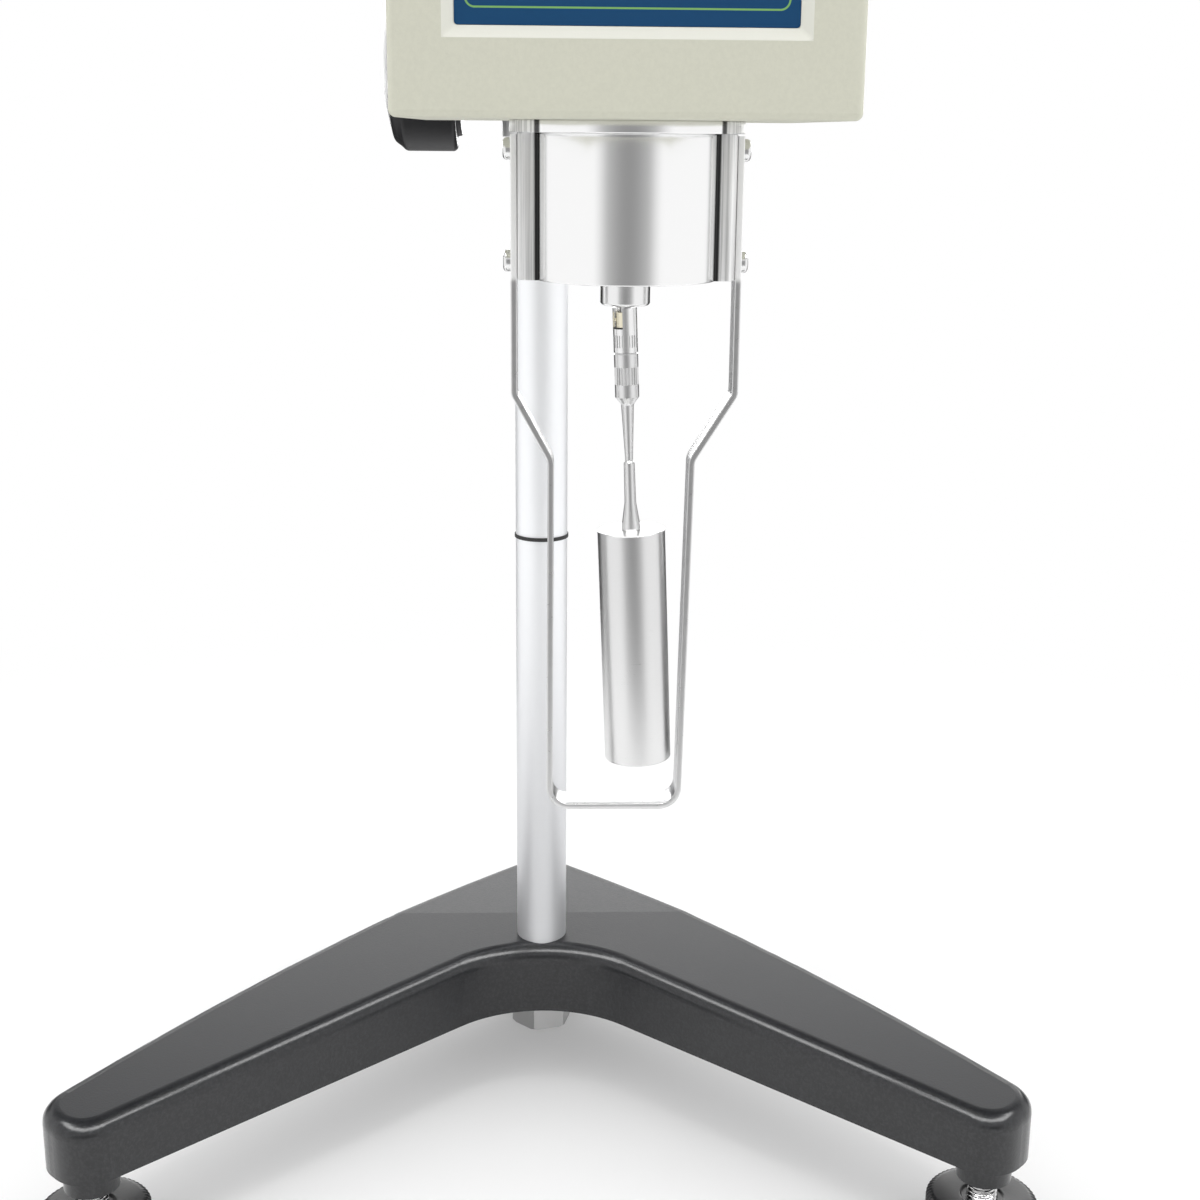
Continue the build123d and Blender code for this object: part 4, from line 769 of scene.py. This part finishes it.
def lift_knob(material):
    """The round lift knob with its stepped and slightly domed face."""
    _, high, middle, size = span("lift_knob")
    depth = size.x / MM
    outline = [(radius, min(height, depth)) for radius, height in KNOB_STEPS]
    outline = [(0, 0.1), *outline, (9.0, depth - 0.35), (0, depth)]
    turn = Matrix.Rotation(-math.pi / 2, 4, "Y")
    piece = turned("lift_handwheel", outline, material, upright(high.x, middle.y, middle.z) @ turn, 1.1 * MM)
    return settle(piece, "lift_wheel", "knob_plastic", "lift_knob")


class VISCOMETER_OT_carriage(DressOperator, bpy.types.Operator):
    """Finish the lift carriage, the knob and the clamp"""

    bl_idname = "viscometer.carriage"
    bl_label = "Lift carriage"

    def execute(self, context):
        paint(drawn_metal("carriage_metal", 0.80, 0.38, 2, 0.1), "carriage_body")
        paint(plated_metal("bush_bronze", (0.62, 0.42, 0.2), 0.3), "column_bushes")
        paint(turned_metal("pinion_steel", 0.6, 0.3), "pinion")
        black = glossy_black("knob_black", (0.010, 0.010, 0.011), 0.30)
        lift_knob(black)
        paint(black, "rod_clamp_screw")
        paint(drawn_metal("rod_steel", 0.7, 0.2, 1), "head_rod")
        paint(turned_metal("rod_flange_metal", 0.6, 0.3), "rod_flange")
        return {"FINISHED"}


SEGMENTS = {"0": "abcdef", "1": "bc", "2": "abged", "3": "abgcd", "4": "fgbc", "5": "afgcd", "6": "afgedc",
            "7": "abc", "8": "abcdefg", "9": "abcdfg"}


def segment(letter, x, z, width, height, thick):
    """The six corners of one bar of a seven-segment digit whose lower left corner is at x, z."""
    rows = {"a": height, "g": height / 2, "d": 0.0}
    gap, half = thick * 0.12, thick / 2
    if letter in rows:
        left, right, middle = x + gap, x + width - gap, z + rows[letter]
        return [(left, middle), (left + half, middle - half), (right - half, middle - half),
                (right, middle), (right - half, middle + half), (left + half, middle + half)]
    column = x + (width if letter in "bc" else 0.0)
    low = z + gap + (height / 2 if letter in "bf" else 0.0)
    high = low + height / 2 - 2 * gap
    return [(column, low), (column + half, low + half), (column + half, high - half),
            (column, high), (column - half, high - half), (column - half, low + half)]


def digits(bm, text, x, z, width, height, front, depth):
    """Writes a number in seven-segment bars."""
    thick = height * 0.13
    for character in text:
        if character == ".":
            dot = x - width * 0.42
            low, high = z - thick / 2, z + thick / 2
            tile(bm, [(dot, low), (dot + thick, low), (dot + thick, high), (dot, high)], front, depth)
            continue
        for letter in SEGMENTS[character]:
            tile(bm, segment(letter, x, z, width, height, thick), front, depth)
        x += width * 1.6
    return bm


READOUTS = (
    # number, its place from the sheet's left and lower edges, its height as a share of the window's
    ("128.5", 5.0, 12.5, 0.34), ("60", 5.0, 3.0, 0.2), ("42.7", 22.0, 3.0, 0.2), ("25.0", 41.0, 3.0, 0.2),
)


def display():
    """The liquid-crystal sheet behind the window and what it shows."""
    back = LCD_HIGH.y + 0.3 * MM
    half_w, half_h = LCD_SIZE.x / 2 - 1.0 * MM, LCD_SIZE.z / 2 - 1.0 * MM
    left, right = LCD_MID.x - half_w, LCD_MID.x + half_w
    low, high = LCD_MID.z - half_h, LCD_MID.z + half_h
    sheet = tile(bmesh.new(), [(left, low), (right, low), (right, high), (left, high)], back, 0.5 * MM)
    paper = moulded_plastic("lcd_sheet", (0.36, 0.44, 0.24), 0.35, 4.0, 0.02)
    settle(link_mesh("lcd_sheet", sheet, paper), "head", "clear_window")
    bm = bmesh.new()
    front = back - 0.06 * MM
    for text, x, z, share in READOUTS:
        tall = LCD_SIZE.z * share
        digits(bm, text, left + x * MM, low + z * MM, tall * 0.55, tall, front, 0.05 * MM)
    ink = moulded_plastic("lcd_ink", (0.02, 0.03, 0.02), 0.5, 4.0, 0.02)
    settle(link_mesh("lcd_digits", bm, ink), "head", "clear_window")


SIGN_DEPTH = 0.04 * MM


def arc_points(middle, radius, start, stop, steps=24):
    """Points in XZ along an arc about a middle."""
    turns = [start + (stop - start) * step / steps for step in range(steps + 1)]
    return [(middle.x + radius * math.cos(turn), middle.z + radius * math.sin(turn)) for turn in turns]


def key_symbol(name, material):
    """A plain sign on a key: an arrow, a ring or an open ring."""
    low, _, middle, size = span("key_" + name)
    reach = size.z * 0.24
    front = low.y
    bm = bmesh.new()
    directions = {"left": math.pi, "right": 0.0, "up": math.pi / 2, "down": -math.pi / 2}
    if name in directions:
        turn = directions[name]
        corners = arc_points(middle, reach * 1.15, turn, turn + 2 * math.pi, 3)[:3]
        tile(bm, corners, front, SIGN_DEPTH)
    else:
        stop = 2 * math.pi if name == "confirm" else 1.6 * math.pi
        outer = arc_points(middle, reach, 0.0, stop)
        inner = arc_points(middle, reach * 0.62, 0.0, stop)
        for step in range(len(outer) - 1):
            tile(bm, [outer[step], outer[step + 1], inner[step + 1], inner[step]], front, SIGN_DEPTH)
    settle(link_mesh("sign_" + name, bm, material), "push_" + name, "panel_film")


MARK_INNER, MARK_OUTER = 0.42, 0.5
BUBBLE_STEPS = (
    # radius and depth below the vial's face of each step of the bubble
    (0, 2.2), (1.6, 1.9), (2.1, 1.4), (1.5, 0.9), (0, 0.8),
)


def spirit_bubble():
    """The liquid, the bubble and the sighting ring of the round level."""
    low, _, middle, size = span("level_vial")
    liquid = clear_glass("level_liquid", (0.55, 0.85, 0.15), 0.02)
    radius, height = size.x / 2 / MM, size.z / MM
    inner, outer, under = radius * MARK_INNER, radius * MARK_OUTER, height - 0.02
    ring = [(inner, under), (outer, under), (outer, height), (inner, height)]
    place = upright(middle.x, middle.y, low.z)
    ink = moulded_plastic("level_ink", (0.01, 0.01, 0.01), 0.4)
    settle(turned("level_mark", ring, ink, place, 0.002 * MM, True), "head", "clear_window")
    dome = [(reach, height - depth) for reach, depth in BUBBLE_STEPS]
    air = clear_glass("level_air", (0.95, 0.98, 0.9), 0.01)
    settle(turned("level_bubble", dome, air, place, 0.5 * MM), "head", "clear_window")
    paint(liquid, "level_vial")


class VISCOMETER_OT_head(DressOperator, bpy.types.Operator):
    """Finish the head's housing and what is on it"""

    bl_idname = "viscometer.head"
    bl_label = "Head"

    def execute(self, context):
        look = self.look
        paint(moulded_plastic("housing_plastic", look.housing_colour, 0.46, sheen=0.4), "head_rear_shell")
        paint(front_moulding(look), "head_front_panel")
        paint(panel_film(look), "keypad_plate")
        paint(clear_glass("window_acrylic", (0.9, 0.95, 0.92)), "lcd_window")
        keys = [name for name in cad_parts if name.startswith("key_")]
        paint(moulded_plastic("key_plastic", (0.72, 0.73, 0.72), 0.3, 2.5, 0.06), *keys)
        blue = moulded_plastic("sign_ink", look.panel_colour, 0.4, 3.0, 0.03)
        for name in keys:
            key_symbol(name.removeprefix("key_"), blue)
        display()
        spirit_bubble()
        paint(moulded_plastic("inlet_plastic", (0.015, 0.015, 0.016), 0.35), "power_inlet", "level_housing")
        paint(moulded_plastic("rocker_plastic", (0.02, 0.02, 0.021), 0.25), "switch_rocker")
        paint(plated_metal("screw_plating", (0.75, 0.75, 0.75), 0.2), "housing_screws", "chassis_screws")
        return {"FINISHED"}


class VISCOMETER_OT_drive(DressOperator, bpy.types.Operator):
    """Finish the frame, motor, discs and boards inside the head"""

    bl_idname = "viscometer.drive"
    bl_label = "Drive and boards"

    def execute(self, context):
        zinc = plated_metal("zinc_plate", (0.6, 0.6, 0.57), 0.32)
        paint(zinc, "chassis_plate", "motor_plate", "motor", "power_unit")
        paint(turned_metal("pillar_steel", 0.65, 0.25), "frame_pillars", "drive_hub", "pivot_shaft")
        disc = moulded_plastic("disc_black", (0.015, 0.015, 0.015), 0.4)
        paint(disc, "upper_encoder_disc", "lower_encoder_disc", "photo_sensors")
        paint(plated_metal("spring_bronze", (0.62, 0.44, 0.2), 0.25), "hairspring")
        paint(plated_metal("jewel_ruby", (0.5, 0.02, 0.05), 0.1), "jewel_bearing")
        paint(circuit_board(), "display_board", "main_board")
        return {"FINISHED"}


COLLAR_R = 24.25
COLLAR_BORE_R = 18.5
COLLAR_FLOOR = 4.4
COLLAR_NECK_R = 5.05
BOSS_BORE_R = 1.9
BOSS_SHORT = 2.1
BAR_HALF_Y = 6.0
BAR_ROUND = 2.5


def bar_reach(angle, outer):
    """How far a milled bar with rounded corners reaches at an angle, from the collar's axis."""
    across, along = abs(math.sin(angle)), abs(math.cos(angle))
    if across * outer < (BAR_HALF_Y - BAR_ROUND) * along:
        return outer / along
    middle = Vector((outer - BAR_ROUND, BAR_HALF_Y - BAR_ROUND))
    ahead = middle.x * along + middle.y * across
    spare = ahead * ahead - middle.length_squared + BAR_ROUND * BAR_ROUND
    if spare > 0:
        far = ahead + math.sqrt(spare)
        if far * along > middle.x:
            return far
    return BAR_HALF_Y / across


def collar(look, material):
    """The turned collar, hollow, with its two milled bars and softened lower edge."""
    low, _, middle, size = span("collar")
    outer, height = size.x / 2 / MM, size.z / MM
    step = math.radians(0.12)
    banks = [(bank, side) for bank in (0.0, math.pi) for side in (1, -1)]
    fine = [bank + side * step * number for bank, side in banks for number in range(35, 135)]
    angles = sorted({round(angle % (2 * math.pi), 6) for angle in fine + even(180)})

    def bars(reach, _, angle):
        """The collar's own radius, or the bar's where that reaches further."""
        if reach < (COLLAR_R - 2) * MM:
            return reach
        return reach + (max(COLLAR_R, bar_reach(angle, outer)) - COLLAR_R) * MM

    outline = [
        (COLLAR_BORE_R, height), (COLLAR_BORE_R, COLLAR_FLOOR), (COLLAR_NECK_R, COLLAR_FLOOR),
        (COLLAR_NECK_R, 0), (COLLAR_R, 0), (COLLAR_R, height),
    ]
    place = upright(middle.x, middle.y, low.z)
    piece = turned("collar_body", outline, material, place, look.edge, True, bars, angles)
    return settle(piece, "head", "polished_metal", "collar")


GUARD_EDGE = 0.35
GUARD_BENDS = 4.0
GUARD_CORNER = 6.5
GUARD_SHOULDER_Z = 272.9
GUARD_WAIST_Z = 254.8
GUARD_WAIST = (20.8, 19.4)
GUARD_FOOT = (21.1, 17.5)
GUARD_T = 1.7


def guard(material):
    """The guard, bent from strip: shoulders, waist and a narrow foot with round corners."""
    low, high, middle, size = span("guard")
    half, top, foot = size.x / 2 / MM, high.z / MM, low.z / MM
    corners = [
        (half, top, 0), (half, GUARD_SHOULDER_Z, GUARD_BENDS), (GUARD_WAIST[1], GUARD_WAIST_Z, GUARD_BENDS),
        (GUARD_FOOT[1], foot, GUARD_CORNER), (-GUARD_FOOT[0], foot, GUARD_CORNER),
        (-GUARD_WAIST[0], GUARD_WAIST_Z, GUARD_BENDS), (-half, GUARD_SHOULDER_Z, GUARD_BENDS),
        (-half, top, 0),
    ]
    bm = strip(bent_path(corners), GUARD_T, size.y / MM, GUARD_EDGE)
    place_mesh(bm, upright(middle.x, middle.y) @ Matrix.Scale(MM, 4))
    piece = link_mesh("guard_strip", bm, material, 40)
    return settle(piece, "head", "strip_metal", "guard")


class VISCOMETER_OT_collar(DressOperator, bpy.types.Operator):
    """Finish the flange, collar and guard"""

    bl_idname = "viscometer.collar"
    bl_label = "Collar and guard"

    def execute(self, context):
        look = self.look
        polished = collar_metal()
        collar(look, polished)
        radius, height = FLANGE_SIZE.x / 2 / MM, FLANGE_SIZE.z / MM
        outline = [(COLLAR_BORE_R, 0), (radius, 0), (radius, height), (COLLAR_BORE_R, height)]
        place = upright(FLANGE_MID.x, FLANGE_MID.y, FLANGE_LOW.z)
        flange = turned("flange", outline, polished, place, look.edge, True)
        settle(flange, "head", "polished_metal", "collar_flange")
        low, _, middle, size = span("collar_end_boss")
        radius = size.x / 2 / MM
        step, top, neck = size.z / MM - COLLAR_FLOOR, size.z / MM - BOSS_SHORT, COLLAR_NECK_R - 0.05
        outline = [(BOSS_BORE_R, 0), (radius - 0.6, 0), (radius, 0.6), (radius, step), (neck, step),
                   (neck, top), (BOSS_BORE_R, top)]
        place = upright(middle.x, middle.y, low.z)
        boss = turned_metal("boss_metal", 0.9, 0.15, 0.1)
        end_boss = turned("end_boss", outline, boss, place, 0.25 * MM, True)
        settle(end_boss, "head", "machined_metal", "collar_end_boss")
        guard(strip_steel())
        paint(plated_metal("guard_screw_plating", (0.85, 0.85, 0.85), 0.16), "guard_screws")
        return {"FINISHED"}


PIVOT_Z = 293.0
LEAN = math.radians(2.4)
SLEEVE_R = 3.3
SPINDLE_STEPS = (
    # radius and height of each step of the spindle above its rotor's top
    (2.75, 0.0), (1.6, 7.6), (1.5, 18.8), (1.05, 19.4), (1.75, 35.0), (3.3, 37.0), (3.3, 49.15),
)
ROTOR_R = 9.42
ROTOR_TOP = 235.0
ROTOR_LENGTH = 67.0
KNURL = (275.5, 280.2)
STUD_BORE_R = 1.55
STUD_LOW = 279.55


def spindle(look, material):
    """The spindle: knurled nut, tapered stem with a neck, cone and cylinder, hanging at a slight lean."""
    count, depth = look.knurl_teeth, 0.25 * MM

    def knurled(reach, height, angle):
        """Cuts the knurl's teeth into its band."""
        inside = KNURL[0] < height / MM < KNURL[1] and reach > SLEEVE_R * 0.98 * MM
        return reach - depth * abs(math.sin(count * angle / 2)) if inside else reach

    steps = [(radius, ROTOR_TOP + height) for radius, height in SPINDLE_STEPS]
    top = steps[-1][1]
    band = [(SLEEVE_R, end + side) for end in KNURL for side in (-0.02, 0.02)]
    low = ROTOR_TOP - ROTOR_LENGTH
    outline = softened([(0, low), (ROTOR_R, low), (ROTOR_R, ROTOR_TOP), *steps[:-1]], 0.4)
    nut = [*steps[-2:-1], *band, (SLEEVE_R, top - 0.4), (SLEEVE_R - 0.4, top)]
    bore = [(STUD_BORE_R, top), (STUD_BORE_R, STUD_LOW), (0, STUD_LOW)]
    outline = [(radius * MM, height * MM) for radius, height in (*outline, *nut, *bore)]
    lean = Matrix.Rotation(-LEAN, 4, "Y")
    place = upright(FLANGE_MID.x, FLANGE_MID.y, PIVOT_Z * MM) @ lean @ upright(0, 0, -PIVOT_Z * MM)
    bm = lathe(bmesh.new(), outline, False, knurled, even(240))
    piece = link_mesh("spindle_body", place_mesh(bm, place), material)
    return settle(piece, "spindle_unit", "machined_metal", "spindle")


class VISCOMETER_OT_spindle(DressOperator, bpy.types.Operator):
    """Finish the universal joint and the spindle"""

    bl_idname = "viscometer.spindle"
    bl_label = "Joint and spindle"

    def execute(self, context):
        paint(plated_metal("joint_brass", (0.9, 0.84, 0.66), 0.25), "uj_block")
        paint(turned_metal("coupler_steel", 0.93, 0.2), "coupler_sleeve")
        spindle(self.look, turned_metal("spindle_steel", 0.80, 0.24, 0.25))
        return {"FINISHED"}


# ------------------------------------------------------------ stage
LAMPS = (
    # name, place, aim, width, height, power, and whether it shines in surfaces or lights them
    ("left_box", (-1.15, -0.38, 0.55), (0.0, -0.1, 0.3), 0.7, 1.0, 3.6, False),
    ("right_box", (1.15, -0.38, 0.55), (0.0, -0.1, 0.3), 0.7, 1.0, 4.2, False),
    ("top_box", (0.0, -0.15, 1.4), (0.0, -0.05, 0.0), 0.7, 0.7, 5.5, False),
    ("back_box", (0.12, 1.1, 0.46), (0.05, 0.0, 0.05), 1.6, 0.3, 11.0, True),
)
STUDIO = (
    # how bright the studio is by direction, from behind the instrument round to the camera
    (0.0, 0.5), (0.015, 0.1), (0.05, 0.02), (0.15, 0.02), (0.19, 0.3), (0.25, 1.0), (0.87, 1.0),
    (0.91, 0.82), (0.953, 0.5), (0.983, 0.38), (1.0, 0.3),
)
OVERHEAD = 0.1
HALO = 9.0
FLOOR_R = 0.9
FLOOR_FADE = (330.0, 700.0)


def set_lamp(name, place, aim, width, height, power, shiny):
    """A soft box that looks at a point. A shiny one is only reflected, and the others only light."""
    data = bpy.data.lights.new(name, "AREA")
    data.shape = "RECTANGLE"
    data.size, data.size_y = width, height
    data.energy = power
    lamp = bpy.data.objects.new(name, data)
    lamp.location = place
    lamp.visible_glossy = shiny
    lamp.visible_diffuse = not shiny
    direction = Vector(aim) - Vector(place)
    lamp.rotation_euler = direction.to_track_quat("-Z", "Y").to_euler()
    bpy.context.scene.collection.objects.link(lamp)


def set_camera(scene, setting):
    """The camera in front of the column, at the height of the head's underside."""
    data = bpy.data.cameras.new("camera")
    data.sensor_width = 36.0
    data.lens = setting.lens
    camera = bpy.data.objects.new("camera", data)
    turn = Matrix.Rotation(-setting.yaw, 4, "Z")
    turn = turn @ Matrix.Rotation(math.pi / 2 - setting.pitch, 4, "X") @ Matrix.Rotation(setting.roll, 4, "Z")
    eye = Vector((COLUMN_MID.x, COLUMN_MID.y - setting.eye_distance, setting.eye_height))
    camera.matrix_world = Matrix.Translation(eye) @ turn
    scene.collection.objects.link(camera)
    scene.camera = camera


def set_floor(setting):
    """A white floor that keeps the instrument's soft shadow and melts into the background."""
    bm = bmesh.new()
    bmesh.ops.create_circle(bm, cap_ends=True, segments=96, radius=FLOOR_R)
    finish = Finish("floor_paper")
    x, y, _ = finish.parts(finish.place())
    away = ((x * x + y * y) ** 0.5).smooth(*FLOOR_FADE)
    grain = finish.noise(finish.place(), 0.02, 2.0)
    paper = finish.node("BsdfDiffuse", sockets={
        "Color": finish.mix(grain, grey(setting.floor_white * 0.99), grey(setting.floor_white))
    })
    glow = finish.node("Emission", sockets={"Color": grey(1.0), "Strength": 1.0})
    clear = finish.node("BsdfTransparent")
    camera_ray = finish.node("LightPath", out=0)
    seen = finish.node("MixShader", sockets={0: camera_ray * (0.25 + 0.75 * away), 1: paper, 2: glow})
    edge = finish.node("MixShader", sockets={0: away * (1.0 - camera_ray), 1: seen, 2: clear})
    finish.node("OutputMaterial", sockets={"Surface": edge})
    floor = link_mesh("floor", bm, finish.owner)


def set_world(scene, setting):
    """A white studio: plain light for the object, white behind it, and darker gaps that only metal shows."""
    finish = Finish("studio", world=True)
    ray = finish.node("LightPath")
    kinds = ("Is Camera Ray", "Is Glossy Ray", "Is Transmission Ray")
    camera_ray, glossy_ray, through_ray = [Term(finish, ray.socket.node.outputs[kind]) for kind in kinds]
    x, y, z = finish.parts(finish.node("TexCoord"))
    front = 0.5 - 0.5 * (y / ((x * x + y * y) ** 0.5 + 0.0001))
    stops = [(place, grey(level)) for place, level in STUDIO]
    studio = finish.node("ValToRGB", {"stops": stops}, {0: front})
    studio = finish.mix(z.smooth(0.26, 0.36), studio, grey(1.0))
    studio = finish.mix(z.smooth(0.38, 0.66), studio, grey(OVERHEAD))
    halo = z.smooth(0.68, 0.72) * (1.0 - z.smooth(0.84, 0.88)) * front.smooth(0.3, 0.5)
    studio = finish.mix(halo, studio, grey(HALO))
    metal = finish.node("Background", sockets={"Color": studio, "Strength": 1.0})
    white = finish.node("Background", sockets={"Color": grey(1.0), "Strength": 1.0})
    plain = finish.node("Background", sockets={"Color": grey(1.0), "Strength": setting.room_light})
    lit = finish.node("MixShader", sockets={0: glossy_ray, 1: plain, 2: metal})
    seen = finish.node("MixShader", sockets={0: camera_ray.high(through_ray), 1: lit, 2: white})
    finish.node("OutputWorld", sockets={"Surface": seen})
    scene.world = finish.owner


class VISCOMETER_OT_stage(DressOperator, bpy.types.Operator):
    """Set the floor, the lamps and the camera"""

    bl_idname = "viscometer.stage"
    bl_label = "Stage"

    def execute(self, context):
        setting = context.scene.viscometer_stage
        set_camera(context.scene, setting)
        set_floor(setting)
        set_world(context.scene, setting)
        for lamp in LAMPS:
            set_lamp(*lamp)
        context.scene.view_settings.view_transform = "Standard"
        return {"FINISHED"}


OPERATORS = (
    VISCOMETER_OT_base,
    VISCOMETER_OT_column,
    VISCOMETER_OT_carriage,
    VISCOMETER_OT_head,
    VISCOMETER_OT_drive,
    VISCOMETER_OT_collar,
    VISCOMETER_OT_spindle,
    VISCOMETER_OT_stage,
)


class VISCOMETER_PT_panel(bpy.types.Panel):
    """Lists the steps that dress the instrument"""

    bl_idname = "VISCOMETER_PT_panel"
    bl_label = "Rotational viscometer"
    bl_space_type = "VIEW_3D"
    bl_region_type = "UI"
    bl_category = "Viscometer"

    def draw(self, context):
        for group in (context.scene.viscometer_look, context.scene.viscometer_stage):
            box = self.layout.box()
            for name in group.__annotations__:
                box.prop(group, name)
        for operator in OPERATORS:
            self.layout.operator(operator.bl_idname)


CLASSES = (ViscometerLook, StageSetting, *OPERATORS, VISCOMETER_PT_panel)


def register():
    for cls in CLASSES:
        bpy.utils.register_class(cls)
    bpy.types.Scene.viscometer_look = PointerProperty(type=ViscometerLook)
    bpy.types.Scene.viscometer_stage = PointerProperty(type=StageSetting)


def unregister():
    del bpy.types.Scene.viscometer_stage
    del bpy.types.Scene.viscometer_look
    for cls in reversed(CLASSES):
        bpy.utils.unregister_class(cls)


def main():
    """Registers the add-on and dresses the instrument step by step."""
    register()
    for operator in OPERATORS:
        group, name = operator.bl_idname.split(".")
        getattr(getattr(bpy.ops, group), name)()


if __name__ == "__main__":
    main()
